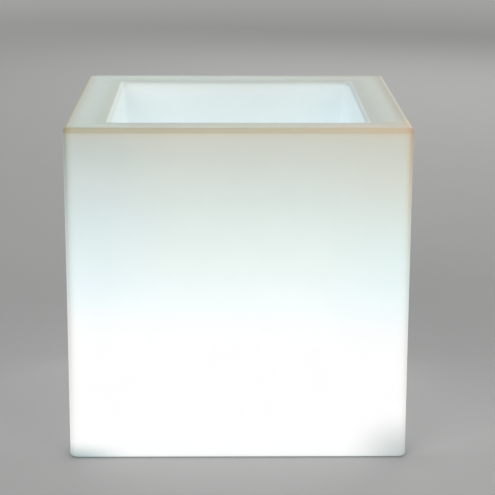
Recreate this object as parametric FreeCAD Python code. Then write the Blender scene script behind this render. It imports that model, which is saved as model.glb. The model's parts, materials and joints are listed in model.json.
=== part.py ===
"""Glowing cube planter: a rotomoulded double-wall cube with a recess in its top and a lamp in its base.

Millimetres, +Z up. The origin is the middle of the cube at the surface that it stands on, and the
front is -Y. The lamp is a housing with a flange that is screwed into a round well in the cube's base.
Every piece is one solid in its own file, and repeated small pieces share a file.
"""
import FreeCAD
import Part
import math
import os

Vec = FreeCAD.Vector
UP = Vec(0, 0, 1)
ALONG_X = Vec(1, 0, 0)

# ---- Fits ----------------------------------------------------------------------------------------
RUNNING = 0.08             # radial play of a pin, stem or screw in its hole
LOOSE = 0.3                # play around a piece that is laid in its seat

# ---- Cube ----------------------------------------------------------------------------------------
CUBE_WIDTH = 400.0
CUBE_HEIGHT = 399.0        # feet included
SIDE_WALL = 4.0
CORNER_RADIUS = 8.0
TOP_EDGE_RADIUS = 4.5
BASE_EDGE_RADIUS = 5.0
FOOT_PROUD = 0.5           # rubber below the corner pads
PAD_HEIGHT = 1.0           # corner pads below the middle of the base
PAD_SIDE = 62.0

RIM_DIP = 2.0              # the rim falls this much towards the recess
RIM_LAND = 9.0             # level part of the rim, from the outer wall
OPENING_WIDTH = 300.0
OPENING_CORNER_RADIUS = 10.0
OPENING_EDGE_RADIUS = 5.0
RECESS_DEPTH = 205.0
RECESS_DRAFT = 1.75        # degrees
RECESS_FLOOR_RADIUS = 8.0

# ---- Well in the base, where the lamp is screwed in ----------------------------------------------
WELL_DEPTH = 15.5
WELL_RADIUS = 84.0         # at its ceiling
WELL_DRAFT = 14.0          # degrees
LAMP_HOLE_RADIUS = 60.0
FLANGE_SCREW_COUNT = 6
FLANGE_SCREW_CIRCLE = 140.0
INSERT_RADIUS = 3.2
INSERT_LENGTH = 9.0
INSERT_BOSS_RADIUS = 7.0
BOSS_TAPER = 1.0           # a moulded boss is this much slimmer at its top
BOSS_ROOF = 2.0            # material over a blind hole

# ---- Rubber feet ---------------------------------------------------------------------------------
FOOT_RADIUS = 15.0
FOOT_THICKNESS = 2.5
FOOT_INSET = 37.0          # from the cube's sides to the foot's middle
FOOT_STEM_RADIUS = 4.0
FOOT_STEM_LENGTH = 7.5

# ---- Lamp body -----------------------------------------------------------------------------------
GASKET_THICKNESS = 2.0
FLANGE_RADIUS = 80.0
FLANGE_THICKNESS = 4.0
CUP_RADIUS = 58.0
CUP_WALL = 2.5
CUP_HEIGHT = 51.0          # from the flange's top
CUP_LIP_THICKNESS = 4.0
CUP_MOUTH_RADIUS = 45.0

# ---- Screws: shank radius, head radius, head height ----------------------------------------------
FLANGE_SCREW_SHANK = 2.0
FLANGE_SCREW_HEAD = 3.8
FLANGE_SCREW_HEAD_HEIGHT = 2.6
FLANGE_SCREW_REACH = 8.0   # into the insert
SMALL_SCREW_SHANK = 1.5
SMALL_SCREW_HEAD = 2.8
SMALL_SCREW_HEAD_HEIGHT = 1.8
SMALL_SCREW_REACH = 8.0
HEX_KEY = 2.5              # across the flats of the drive socket
SLOT_DEPTH = 1.2

# ---- Lens ----------------------------------------------------------------------------------------
LENS_WALL = 2.0
LENS_FLANGE = 2.5
LENS_DOME_RADIUS = 46.0
LENS_DOME_RISE = 17.0
LENS_SCREW_COUNT = 4
LENS_SCREW_CIRCLE = 108.0
LENS_BOSS_RADIUS = 3.4
SEAL_CIRCLE = 98.0
SEAL_SECTION = 1.8         # diameter of the O-ring's cord

# ---- LED board -----------------------------------------------------------------------------------
BOARD_BELOW_LIP = 3.4      # from the cup's lip down to the top of the LED board
LED_BOARD_RADIUS = 44.0
LED_BOARD_THICKNESS = 1.6
POST_CIRCLE = 80.0
POST_RADIUS = 3.2
POST_COUNT = 3
POST_FIRST_ANGLE = 90.0
LED_SIDE = 5.0
LED_HEIGHT = 1.5
LED_RINGS = ((11, 60.0, 0.0), (5, 26.0, 0.0))     # count, circle, first angle
REFLECTOR_THICKNESS = 1.0
REFLECTOR_RIM = 4.0

# ---- Battery -------------------------------------------------------------------------------------
CELL_RADIUS = 9.25
CELL_LENGTH = 65.0
CELL_PITCH = 18.9
CELL_NOSE_RADIUS = 3.0
CELL_NOSE = 0.8
CELL_CRIMP = 0.5           # depth of the groove near the nose
CELL_CRIMP_WIDTH = 1.2
CELL_CRIMP_INSET = 3.0
PACK_Y = 5.5
CRADLE_FLOOR = 2.0
CRADLE_SADDLE = 8.0        # height of the saddles over the cradle's floor
CRADLE_WALL = 1.6
CRADLE_END_HEIGHT = 13.0
STRAP_THICKNESS = 0.3
STRAP_WIDTH = 8.0
BAND_THICKNESS = 1.8
BAND_WIDTH = 14.0
BAND_TAB = 8.0
BAND_TAB_THICKNESS = 2.5
BAND_BOSS_RADIUS = 3.4

# ---- Push button ---------------------------------------------------------------------------------
BUTTON_X = 2.0
BUTTON_Y = -40.0
BUTTON_TRAVEL = 1.2
BUTTON_RADIUS = 8.0
BUTTON_HEIGHT = 3.3
BUTTON_PROUD = 1.6         # below the flange
BUTTON_SKIN = 1.6          # face and rim of the hollow cap
BUTTON_DISH = 0.4          # hollow in the middle of its face
BUTTON_STEM_RADIUS = 3.0
GUIDE_RADIUS = 11.0        # thick part of the cup's floor around the button
GUIDE_LENGTH = 4.2
SPRING_RADIUS = 4.8        # to the middle of its wire
SPRING_WIRE = 0.6          # wire diameter
SPRING_TURNS = 2.5
SPRING_RUNS_PER_TURN = 16
CLIP_RADIUS = 4.6
CLIP_THICKNESS = 0.6
CLIP_GROOVE = 0.5
CLIP_GAP = 0.2
STEM_ABOVE_CLIP = 1.2
BUTTON_SEAL_SECTION = 1.2

# ---- Tact switch and control board ---------------------------------------------------------------
PLUNGER_RADIUS = 1.75
SWITCH_SIDE = 7.0
SWITCH_HEIGHT = 4.2
SWITCH_ROOF = 0.9
CONTROL_LENGTH = 33.0
CONTROL_DEPTH = 19.0
CONTROL_X = 4.0            # middle of the board
CONTROL_THICKNESS = 1.6
CONTROL_SCREW_INSET = 2.8
STANDOFF_RADIUS = 2.5
CONTROL_SCREW_REACH = 5.0
COIL_RADIUS = 3.4
COIL_HEIGHT = 3.6
CHIP_SIDE = 4.4
CHIP_HEIGHT = 1.6
CAPACITOR_RADIUS = 2.0
CAPACITOR_HEIGHT = 5.0
HEADER_LENGTH = 5.6
HEADER_DEPTH = 4.0
HEADER_HEIGHT = 4.6
HEADER_PITCH = 8.0
HEADER_HOLE = 2.0          # depth of the wire's hole

# ---- Charging light ------------------------------------------------------------------------------
PIPE_X = 14.6
PIPE_Y = -40.0
PIPE_RADIUS = 1.6
PIPE_HEAD_RADIUS = 2.6
PIPE_HEAD = 1.2
PIPE_TOP_GAP = 0.5

# ---- Charging socket -----------------------------------------------------------------------------
JACK_X = -24.0
JACK_Y = -40.0
JACK_HEAD_RADIUS = 5.6
JACK_HEAD = 1.1
JACK_WASHER = 0.5
JACK_BUSH_RADIUS = 4.0
JACK_BUSH_LENGTH = 8.0
JACK_BORE_RADIUS = 2.9
JACK_BORE_DEPTH = 11.0
JACK_BODY_RADIUS = 5.2
JACK_BODY_LENGTH = 8.0
JACK_PIN_RADIUS = 1.05
JACK_PIN_RECESS = 3.2
JACK_TERMINAL = 4.0
JACK_TERMINAL_OFFSET = 2.5
JACK_NUT_FLATS = 11.0
JACK_NUT_HEIGHT = 2.2

# ---- Cover of the charging socket ----------------------------------------------------------------
COVER_RADIUS = 8.5
COVER_THICKNESS = 1.8
COVER_PLUG_TOP_RADIUS = 2.1
COVER_PLUG_HEIGHT = 2.7
COVER_HINGE = 14.0         # from the socket's middle to the hinge line
COVER_STRAP_WIDTH = 8.0
COVER_LIP = 2.6            # finger lip past the round cover
COVER_LIP_WIDTH = 7.0
ANCHOR_WIDTH = 9.0
ANCHOR_DEPTH = 7.0
ANCHOR_THICKNESS = 2.0
ANCHOR_STUD_RADIUS = 1.6
ANCHOR_BARB_RADIUS = 2.4
ANCHOR_BARB = 1.4

# ---- Wires ---------------------------------------------------------------------------------------
WIRE_RADIUS = 0.7

# ---- Places that follow from the sizes -----------------------------------------------------------
HALF_CUBE = CUBE_WIDTH / 2
PAD_Z = FOOT_PROUD
BASE_Z = PAD_Z + PAD_HEIGHT
RIM_Z = CUBE_HEIGHT - RIM_DIP
RECESS_FLOOR_Z = RIM_Z - RECESS_DEPTH
HALF_OPENING = OPENING_WIDTH / 2
HALF_RECESS_FLOOR = HALF_OPENING - RECESS_DEPTH * math.tan(math.radians(RECESS_DRAFT))
CAVITY_TOP_Z = RIM_Z - SIDE_WALL
CAVITY_BASE_Z = BASE_Z + SIDE_WALL
WELL_Z = BASE_Z + WELL_DEPTH
WELL_TOP_Z = WELL_Z + SIDE_WALL
FLANGE_TOP_Z = WELL_Z - GASKET_THICKNESS
FLANGE_Z = FLANGE_TOP_Z - FLANGE_THICKNESS
CUP_TOP_Z = FLANGE_TOP_Z + CUP_HEIGHT
CUP_BORE_RADIUS = CUP_RADIUS - CUP_WALL
LENS_FLANGE_TOP_Z = CUP_TOP_Z + LENS_FLANGE
POST_TOP_Z = CUP_TOP_Z - CUP_LIP_THICKNESS - BOARD_BELOW_LIP - LED_BOARD_THICKNESS
LED_BOARD_TOP_Z = POST_TOP_Z + LED_BOARD_THICKNESS
REFLECTOR_TOP_Z = LED_BOARD_TOP_Z + REFLECTOR_THICKNESS
CELL_Z = FLANGE_TOP_Z + CRADLE_FLOOR + CELL_RADIUS + LOOSE / 2
CELL_YS = (PACK_Y - CELL_PITCH / 2, PACK_Y + CELL_PITCH / 2)
CRADLE_HALF_LENGTH = CELL_LENGTH / 2 + STRAP_THICKNESS + CELL_NOSE + LOOSE + CRADLE_WALL
BAND_HALF_SPAN = CELL_PITCH / 2 + CELL_RADIUS + LOOSE + BAND_THICKNESS
BAND_SCREW_OFFSET = BAND_HALF_SPAN + BAND_TAB / 2
BUTTON_Z = FLANGE_Z - BUTTON_PROUD
BUTTON_TOP_Z = BUTTON_Z + BUTTON_HEIGHT
BUTTON_POCKET_Z = BUTTON_TOP_Z + BUTTON_TRAVEL + LOOSE
GUIDE_TOP_Z = BUTTON_POCKET_Z + GUIDE_LENGTH
CLIP_Z = GUIDE_TOP_Z + CLIP_GAP
STEM_TOP_Z = CLIP_Z + CLIP_THICKNESS + STEM_ABOVE_CLIP
SWITCH_Z = STEM_TOP_Z + BUTTON_TRAVEL + LOOSE
PLUNGER_HOLE_TOP_Z = SWITCH_Z + SWITCH_HEIGHT - SWITCH_ROOF
PLUNGER_TOP_Z = PLUNGER_HOLE_TOP_Z - BUTTON_TRAVEL - LOOSE
CONTROL_Z = SWITCH_Z + SWITCH_HEIGHT
CONTROL_TOP_Z = CONTROL_Z + CONTROL_THICKNESS
JACK_SEAT_Z = FLANGE_Z + LOOSE / 3 + JACK_HEAD + JACK_WASHER
JACK_HEAD_Z = JACK_SEAT_Z - JACK_WASHER - JACK_HEAD
JACK_BUSH_TOP_Z = JACK_SEAT_Z + JACK_BUSH_LENGTH
JACK_BODY_TOP_Z = JACK_BUSH_TOP_Z + JACK_BODY_LENGTH
COVER_TOP_Z = FLANGE_Z - LOOSE
COVER_Z = COVER_TOP_Z - COVER_THICKNESS
HINGE_Y = JACK_Y + COVER_HINGE
HINGE_Z = COVER_Z + COVER_THICKNESS / 2
CUT_MARGIN = 20.0        # how far a cutting solid runs past what it cuts


# ---- Plain shapes --------------------------------------------------------------------------------
def disc(radius, low_z, high_z, x=0.0, y=0.0):
    """Upright cylinder between two heights."""
    return Part.makeCylinder(radius, high_z - low_z, Vec(x, y, low_z), UP)


def cone(low_radius, high_radius, low_z, high_z, x=0.0, y=0.0):
    """Upright cone between two heights."""
    return Part.makeCone(low_radius, high_radius, high_z - low_z, Vec(x, y, low_z), UP)


def block(length, depth, low_z, high_z, x=0.0, y=0.0):
    """Box centred on x and y, between two heights."""
    corner = Vec(x - length / 2, y - depth / 2, low_z)
    return Part.makeBox(length, depth, high_z - low_z, corner)


def turned(outline, x=0.0, y=0.0):
    """Solid of revolution about an upright axis, from a closed outline of (radius, height) corners."""
    corners = [Vec(radius, 0, z) for radius, z in outline]
    face = Part.Face(Part.makePolygon(corners + corners[:1]))
    solid = face.revolve(Vec(0, 0, 0), UP, 360)
    solid.translate(Vec(x, y, 0))
    return solid


def circle_places(count, circle, first_angle=0.0):
    """(x, y) of each hole on a circle of the given diameter."""
    angles = [math.radians(first_angle + 360 * i / count) for i in range(count)]
    return [(circle / 2 * math.cos(a), circle / 2 * math.sin(a)) for a in angles]


def hexagon(flats, low_z, high_z, x=0.0, y=0.0):
    """Hexagonal prism, by its width across the flats."""
    corners = [Vec(x + cx, y + cy, low_z) for cx, cy in circle_places(6, 2 * flats / math.sqrt(3))]
    face = Part.Face(Part.makePolygon(corners + corners[:1]))
    return face.extrude(Vec(0, 0, high_z - low_z))


def cord_section(radius, middle):
    """Octagonal section of a thin round cord, as (radius, height) corners round its middle."""
    places = circle_places(8, 2 * radius / math.cos(math.pi / 8), 22.5)
    return [(middle[0] + across, middle[1] + up) for across, up in places]


def fused(shapes):
    """One solid from overlapping shapes."""
    return shapes[0].multiFuse(shapes[1:]).removeSplitter()


def less(shape, tools):
    """The shape with every tool cut out of it."""
    return shape.cut(tools)


def rounded_square(half, radius, z):
    """Closed wire of a square with round corners."""
    flat = half - radius
    swing = radius * math.sqrt(0.5)
    edges = []
    for quarter in range(4):
        turn = FreeCAD.Rotation(UP, 90 * quarter)
        side_end = turn.multVec(Vec(half, flat, 0))
        arc_middle = turn.multVec(Vec(flat + swing, flat + swing, 0))
        arc_end = turn.multVec(Vec(flat, half, 0))
        edges.append(Part.makeLine(turn.multVec(Vec(half, -flat, 0)), side_end))
        edges.append(Part.Arc(side_end, arc_middle, arc_end).toShape())
    wire = Part.Wire(edges)
    wire.translate(Vec(0, 0, z))
    return wire


def lofted_block(low, high):
    """Solid between two rounded squares, each given as (half width, corner radius, height)."""
    return Part.makeLoft([rounded_square(*low), rounded_square(*high)], True, True)


def flat_sided_block(low, high):
    """The same solid as lofted_block, with true planes for its sides."""
    low_half, corner_radius, low_z = low
    high_half, _, high_z = high
    solid = Part.makeWedge(-low_half, low_z, -low_half, -high_half, -high_half,
                           low_half, high_z, low_half, high_half, high_half)
    solid.rotate(Vec(0, 0, 0), ALONG_X, 90)
    slanted = [edge for edge in solid.Edges if edge.BoundBox.ZLength > (high_z - low_z) / 2]
    return solid.makeFillet(corner_radius, slanted)


def edges_at(shape, z):
    """The edges that lie level at one height."""
    return [e for e in shape.Edges if abs(e.BoundBox.ZMin - z) < 1e-4 and abs(e.BoundBox.ZMax - z) < 1e-4]


def upright_edges(shape):
    """The edges that run straight up."""
    return [e for e in shape.Edges if e.BoundBox.XLength < 1e-4 and e.BoundBox.YLength < 1e-4]


def cushioned_box(half, corner_radius, low, high):
    """Box with round uprights, where low and high are each (height, edge radius)."""
    solid = block(2 * half, 2 * half, low[0], high[0])
    solid = solid.makeFillet(corner_radius, upright_edges(solid))
    solid = solid.makeFillet(high[1], edges_at(solid, high[0]))
    return solid.makeFillet(low[1], edges_at(solid, low[0]))


# ---- Cube ----------------------------------------------------------------------------------------
def recess_form(offset, make_block):
    """The recess as a solid, or with an offset of one wall, the block that its walls take up."""
    low = (HALF_RECESS_FLOOR + offset, OPENING_CORNER_RADIUS + offset, RECESS_FLOOR_Z - offset)
    high = (HALF_OPENING + offset, OPENING_CORNER_RADIUS + offset, RIM_Z)
    form = make_block(low, high)
    return form.makeFillet(RECESS_FLOOR_RADIUS + offset, edges_at(form, low[2]))


def rim_dish():
    """The shallow funnel that the rim makes, from its level land down to the recess."""
    outer = HALF_CUBE - RIM_LAND
    return lofted_block((HALF_OPENING, OPENING_CORNER_RADIUS, RIM_Z),
                        (outer, OPENING_CORNER_RADIUS, CUBE_HEIGHT))


def well_form(offset):
    """The round well in the base, or with an offset of one wall, the block that its walls take up."""
    spread = (WELL_DEPTH + CUT_MARGIN) * math.tan(math.radians(WELL_DRAFT))
    return cone(WELL_RADIUS + spread + offset, WELL_RADIUS + offset, WELL_Z - WELL_DEPTH - CUT_MARGIN,
                WELL_Z + offset)


def foot_places():
    """(x, y) of the four feet."""
    reach = HALF_CUBE - FOOT_INSET
    return [(x, y) for x in (-reach, reach) for y in (-reach, reach)]


def flange_screw_places():
    """(x, y) of the screws that hold the lamp in the base."""
    return circle_places(FLANGE_SCREW_COUNT, FLANGE_SCREW_CIRCLE, 90.0)


def moulded_bosses():
    """The blind bosses for the feet's stems and the threaded inserts."""
    stem_top = FOOT_THICKNESS + FOOT_STEM_LENGTH
    bosses = []
    for x, y in foot_places():
        bosses.append(cone(FOOT_STEM_RADIUS + SIDE_WALL + BOSS_TAPER, FOOT_STEM_RADIUS + SIDE_WALL,
                           BASE_Z, stem_top + BOSS_ROOF, x, y))
    for x, y in flange_screw_places():
        bosses.append(cone(INSERT_BOSS_RADIUS + BOSS_TAPER, INSERT_BOSS_RADIUS,
                           WELL_Z, WELL_Z + INSERT_LENGTH + BOSS_ROOF, x, y))
    return bosses


def cube_cavity():
    """The hollow between the walls, where the light spreads."""
    inner = HALF_CUBE - SIDE_WALL
    inner_radius = CORNER_RADIUS - SIDE_WALL
    edge_radius = inner_radius * 0.75
    hollow = cushioned_box(inner, inner_radius, (CAVITY_BASE_Z, edge_radius), (CAVITY_TOP_Z, edge_radius))
    walls = [recess_form(SIDE_WALL, flat_sided_block), well_form(SIDE_WALL)]
    return less(hollow, walls + moulded_bosses())


def base_relief():
    """What is taken off the base between its corner pads, as two crossing strips."""
    strip = CUBE_WIDTH - 2 * PAD_SIDE
    length = CUBE_WIDTH + CUT_MARGIN
    along_x = block(length, strip, PAD_Z - CUT_MARGIN, BASE_Z)
    along_y = block(strip, length, PAD_Z - CUT_MARGIN, BASE_Z)
    return [along_x, along_y]


def cube_shell():
    """The rotomoulded cube with its recess, well, pads and blind holes."""
    body = cushioned_box(HALF_CUBE, CORNER_RADIUS, (PAD_Z, BASE_EDGE_RADIUS), (CUBE_HEIGHT, TOP_EDGE_RADIUS))
    body = less(body, [rim_dish()])
    body = less(body, [recess_form(0.0, lofted_block)])
    body = body.makeFillet(OPENING_EDGE_RADIUS, edges_at(body, RIM_Z))
    holes = [disc(LAMP_HOLE_RADIUS, WELL_Z - CUT_MARGIN, WELL_TOP_Z + CUT_MARGIN)]
    for x, y in flange_screw_places():
        holes.append(disc(INSERT_RADIUS, WELL_Z - CUT_MARGIN, WELL_Z + INSERT_LENGTH, x, y))
    for x, y in foot_places():
        holes.append(disc(FOOT_RADIUS + LOOSE, PAD_Z - CUT_MARGIN, FOOT_THICKNESS, x, y))
        holes.append(disc(FOOT_STEM_RADIUS + RUNNING, 0, FOOT_THICKNESS + FOOT_STEM_LENGTH, x, y))
    return less(body, base_relief() + [well_form(0.0), cube_cavity()] + holes)


def rubber_feet():
    """Four feet, each a pad with a stem that is pushed into the base."""
    chamfer = FOOT_PROUD
    top = FOOT_THICKNESS + FOOT_STEM_LENGTH
    outline = [(0, 0), (FOOT_RADIUS - chamfer, 0), (FOOT_RADIUS, chamfer), (FOOT_RADIUS, FOOT_THICKNESS),
               (FOOT_STEM_RADIUS, FOOT_THICKNESS), (FOOT_STEM_RADIUS, top - chamfer),
               (FOOT_STEM_RADIUS - chamfer, top), (0, top)]
    return Part.makeCompound([turned(outline, x, y) for x, y in foot_places()])


def threaded_inserts():
    """Brass inserts in the well's ceiling, each with a groove that the plastic grips."""
    bore = FLANGE_SCREW_SHANK + RUNNING
    groove = 0.6
    third = INSERT_LENGTH / 3
    outline = [(bore, WELL_Z), (INSERT_RADIUS, WELL_Z), (INSERT_RADIUS, WELL_Z + third),
               (INSERT_RADIUS - groove, WELL_Z + third), (INSERT_RADIUS - groove, WELL_Z + 2 * third),
               (INSERT_RADIUS, WELL_Z + 2 * third), (INSERT_RADIUS, WELL_Z + INSERT_LENGTH),
               (bore, WELL_Z + INSERT_LENGTH)]
    return Part.makeCompound([turned(outline, x, y) for x, y in flange_screw_places()])


# ---- Fasteners -----------------------------------------------------------------------------------
def pan_screw(shank, head, head_height, seat_z, reach, x, y, downward=True):
    """Pan head screw with a hexagon socket. Its head seats at seat_z and its shank points down or up."""
    way = -1.0 if downward else 1.0
    round_off = head_height * 0.35
    tip = seat_z + way * reach
    top = seat_z - way * head_height
    outline = [(0, tip), (shank * 0.7, tip), (shank, tip - way * shank * 0.3), (shank, seat_z),
               (head, seat_z), (head, top + way * round_off), (head - round_off, top), (0, top)]
    low, high = sorted((top, top + way * SLOT_DEPTH))
    return less(turned(outline, x, y), [hexagon(HEX_KEY * shank / FLANGE_SCREW_SHANK, low, high, x, y)])


def flange_screws():
    """The screws through the lamp's flange into the threaded inserts."""
    reach = FLANGE_THICKNESS + GASKET_THICKNESS + FLANGE_SCREW_REACH
    sizes = (FLANGE_SCREW_SHANK, FLANGE_SCREW_HEAD, FLANGE_SCREW_HEAD_HEIGHT)
    return Part.makeCompound([pan_screw(*sizes, FLANGE_Z, reach, x, y, False)
                              for x, y in flange_screw_places()])


def small_screws(places, seat_z, reach):
    """Small screws whose heads seat at one height."""
    return Part.makeCompound([
        pan_screw(SMALL_SCREW_SHANK, SMALL_SCREW_HEAD, SMALL_SCREW_HEAD_HEIGHT, seat_z, reach, x, y)
        for x, y in places])


def screw_hole(seat_z, reach, x, y):
    """Blind hole for a small screw, from its seat down past its tip."""
    return disc(SMALL_SCREW_SHANK + RUNNING, seat_z - reach - BOSS_TAPER, seat_z + CUT_MARGIN, x, y)


# ---- Lamp body -----------------------------------------------------------------------------------
def post_places():
    """(x, y) of the posts under the LED board."""
    return circle_places(POST_COUNT, POST_CIRCLE, POST_FIRST_ANGLE)


def lens_screw_places():
    """(x, y) of the screws around the dome."""
    return circle_places(LENS_SCREW_COUNT, LENS_SCREW_CIRCLE, 45.0)


def band_screw_places():
    """(x, y) of the screws at both ends of the battery band."""
    return [(0.0, PACK_Y - BAND_SCREW_OFFSET), (0.0, PACK_Y + BAND_SCREW_OFFSET)]


def control_screw_places():
    """(x, y) of the control board's screws."""
    reach_x = CONTROL_LENGTH / 2 - CONTROL_SCREW_INSET
    reach_y = CONTROL_DEPTH / 2 - CONTROL_SCREW_INSET
    return [(CONTROL_X + sx * reach_x, BUTTON_Y + sy * reach_y) for sx in (-1, 1) for sy in (-1, 1)]


def cup_shape():
    """Flange, cup wall and lip of the lamp body."""
    lip_z = CUP_TOP_Z - CUP_LIP_THICKNESS
    lip_slope = CUP_BORE_RADIUS - CUP_MOUTH_RADIUS
    edge = 1.0
    outline = [(0, FLANGE_Z), (FLANGE_RADIUS - edge, FLANGE_Z), (FLANGE_RADIUS, FLANGE_Z + edge),
               (FLANGE_RADIUS, FLANGE_TOP_Z), (CUP_RADIUS, FLANGE_TOP_Z), (CUP_RADIUS, CUP_TOP_Z),
               (CUP_MOUTH_RADIUS, CUP_TOP_Z), (CUP_MOUTH_RADIUS, lip_z),
               (CUP_BORE_RADIUS, lip_z - lip_slope), (CUP_BORE_RADIUS, FLANGE_TOP_Z), (0, FLANGE_TOP_Z)]
    return turned(outline)


def seal_groove():
    """Ring groove in the lip for the dome's O-ring."""
    half = SEAL_SECTION / 2
    middle = SEAL_CIRCLE / 2
    low_z = CUP_TOP_Z - SEAL_SECTION
    return turned([(middle - half, low_z), (middle + half, low_z), (middle + half, CUP_TOP_Z + 1),
                   (middle - half, CUP_TOP_Z + 1)])


def button_seal_groove():
    """Ring groove in the button's guide for its O-ring."""
    middle_z = (BUTTON_POCKET_Z + GUIDE_TOP_Z) / 2
    half = BUTTON_SEAL_SECTION / 2
    inner = BUTTON_STEM_RADIUS * 0.9
    outer = BUTTON_STEM_RADIUS + RUNNING + BUTTON_SEAL_SECTION
    return turned([(inner, middle_z - half), (outer, middle_z - half), (outer, middle_z + half),
                   (inner, middle_z + half)], BUTTON_X, BUTTON_Y)


def lamp_body():
    """Flanged cup with its posts, bosses, guide and the holes for button, socket and light pipe."""
    solids = [cup_shape(), disc(GUIDE_RADIUS, FLANGE_Z + 1, GUIDE_TOP_Z, BUTTON_X, BUTTON_Y)]
    holes = [seal_groove(), button_seal_groove()]
    for x, y in post_places():
        solids.append(cone(POST_RADIUS + BOSS_TAPER * 0.6, POST_RADIUS, FLANGE_Z + 1, POST_TOP_Z, x, y))
        holes.append(screw_hole(POST_TOP_Z, SMALL_SCREW_REACH, x, y))
    for x, y in lens_screw_places():
        solids.append(disc(LENS_BOSS_RADIUS, CUP_TOP_Z - SMALL_SCREW_REACH - 2, CUP_TOP_Z, x, y))
        holes.append(screw_hole(CUP_TOP_Z, SMALL_SCREW_REACH - LENS_FLANGE, x, y))
    for x, y in band_screw_places():
        solids.append(disc(BAND_BOSS_RADIUS, FLANGE_Z + 1, CELL_Z, x, y))
        holes.append(screw_hole(CELL_Z, SMALL_SCREW_REACH - BAND_TAB_THICKNESS, x, y))
    for x, y in control_screw_places():
        solids.append(disc(STANDOFF_RADIUS, FLANGE_Z + 1, CONTROL_Z, x, y))
        holes.append(screw_hole(CONTROL_Z, CONTROL_SCREW_REACH - CONTROL_THICKNESS, x, y))
    for x, y in flange_screw_places():
        holes.append(disc(FLANGE_SCREW_SHANK + LOOSE, FLANGE_Z - 1, FLANGE_TOP_Z + 1, x, y))
    holes.append(disc(BUTTON_RADIUS + LOOSE, FLANGE_Z - 1, BUTTON_POCKET_Z, BUTTON_X, BUTTON_Y))
    holes.append(disc(BUTTON_STEM_RADIUS + RUNNING, FLANGE_Z, GUIDE_TOP_Z + 1, BUTTON_X, BUTTON_Y))
    holes.append(disc(JACK_HEAD_RADIUS + LOOSE, FLANGE_Z - 1, JACK_SEAT_Z, JACK_X, JACK_Y))
    holes.append(disc(JACK_BUSH_RADIUS + RUNNING, FLANGE_Z, FLANGE_TOP_Z + 1, JACK_X, JACK_Y))
    holes.append(disc(PIPE_HEAD_RADIUS + RUNNING, FLANGE_Z - 1, FLANGE_Z + PIPE_HEAD, PIPE_X, PIPE_Y))
    holes.append(disc(PIPE_RADIUS + RUNNING, FLANGE_Z, FLANGE_TOP_Z + 1, PIPE_X, PIPE_Y))
    anchor_y = anchor_middle_y()
    holes.append(block(ANCHOR_WIDTH + 2 * RUNNING, ANCHOR_DEPTH + 2 * RUNNING, FLANGE_Z - 1,
                       FLANGE_Z + ANCHOR_THICKNESS, JACK_X, anchor_y))
    holes.append(disc(ANCHOR_STUD_RADIUS + RUNNING, FLANGE_Z, FLANGE_TOP_Z + 1, JACK_X, anchor_y))
    return less(fused(solids), holes)


def flange_gasket():
    """Flat ring between the flange and the well's ceiling."""
    ring = turned([(LAMP_HOLE_RADIUS + 1, FLANGE_TOP_Z), (FLANGE_RADIUS - 1, FLANGE_TOP_Z),
                   (FLANGE_RADIUS - 1, WELL_Z), (LAMP_HOLE_RADIUS + 1, WELL_Z)])
    return less(ring, [disc(FLANGE_SCREW_SHANK + LOOSE, FLANGE_TOP_Z - 1, WELL_Z + 1, x, y)
                       for x, y in flange_screw_places()])


# ---- Lens ----------------------------------------------------------------------------------------
def dome_cap(radius, rise, base_z):
    """Solid cap of a sphere over a circle at base_z."""
    ball_radius = (radius ** 2 + rise ** 2) / (2 * rise)
    half_angle = math.asin(radius / ball_radius) / 2
    centre_z = base_z + rise - ball_radius
    middle = Vec(ball_radius * math.sin(half_angle), 0, centre_z + ball_radius * math.cos(half_angle))
    arc = Part.Arc(Vec(radius, 0, base_z), middle, Vec(0, 0, base_z + rise)).toShape()
    closing = [Part.makeLine(Vec(0, 0, base_z + rise), Vec(0, 0, base_z)),
               Part.makeLine(Vec(0, 0, base_z), Vec(radius, 0, base_z))]
    return Part.Face(Part.Wire([arc] + closing)).revolve(Vec(0, 0, 0), UP, 360)


def lens_dome():
    """Frosted dome with a flange that covers the cup's lip."""
    plate = disc(CUP_RADIUS, CUP_TOP_Z, LENS_FLANGE_TOP_Z)
    outer = dome_cap(LENS_DOME_RADIUS, LENS_DOME_RISE, LENS_FLANGE_TOP_Z)
    inner_radius = LENS_DOME_RADIUS - LENS_WALL
    inner = dome_cap(inner_radius, LENS_DOME_RISE - LENS_WALL, LENS_FLANGE_TOP_Z)
    holes = [inner, disc(inner_radius, CUP_TOP_Z - 1, LENS_FLANGE_TOP_Z)]
    for x, y in lens_screw_places():
        holes.append(disc(SMALL_SCREW_SHANK + LOOSE, CUP_TOP_Z - 1, LENS_FLANGE_TOP_Z + 1, x, y))
    return less(fused([plate, outer]), holes)


def lens_seal():
    """O-ring in the lip's groove."""
    radius = SEAL_SECTION / 2
    return turned(cord_section(radius, (SEAL_CIRCLE / 2, CUP_TOP_Z - radius)))


# ---- LED board -----------------------------------------------------------------------------------
def led_places():
    """(x, y) of every LED package."""
    return [place for count, circle, first in LED_RINGS for place in circle_places(count, circle, first)]


def led_board():
    """Round aluminium board on the three posts."""
    board = disc(LED_BOARD_RADIUS, POST_TOP_Z, LED_BOARD_TOP_Z)
    holes = [disc(SMALL_SCREW_SHANK + LOOSE, POST_TOP_Z - 1, LED_BOARD_TOP_Z + 1, x, y)
             for x, y in post_places()]
    return less(board, holes)


def leds():
    """LED packages, each with a round window in its top."""
    window = LED_SIDE * 0.4
    top_z = LED_BOARD_TOP_Z + LED_HEIGHT
    return Part.makeCompound([
        less(block(LED_SIDE, LED_SIDE, LED_BOARD_TOP_Z, top_z, x, y),
             [disc(window, top_z - LED_HEIGHT / 4, top_z + 1, x, y)])
        for x, y in led_places()])


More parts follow.
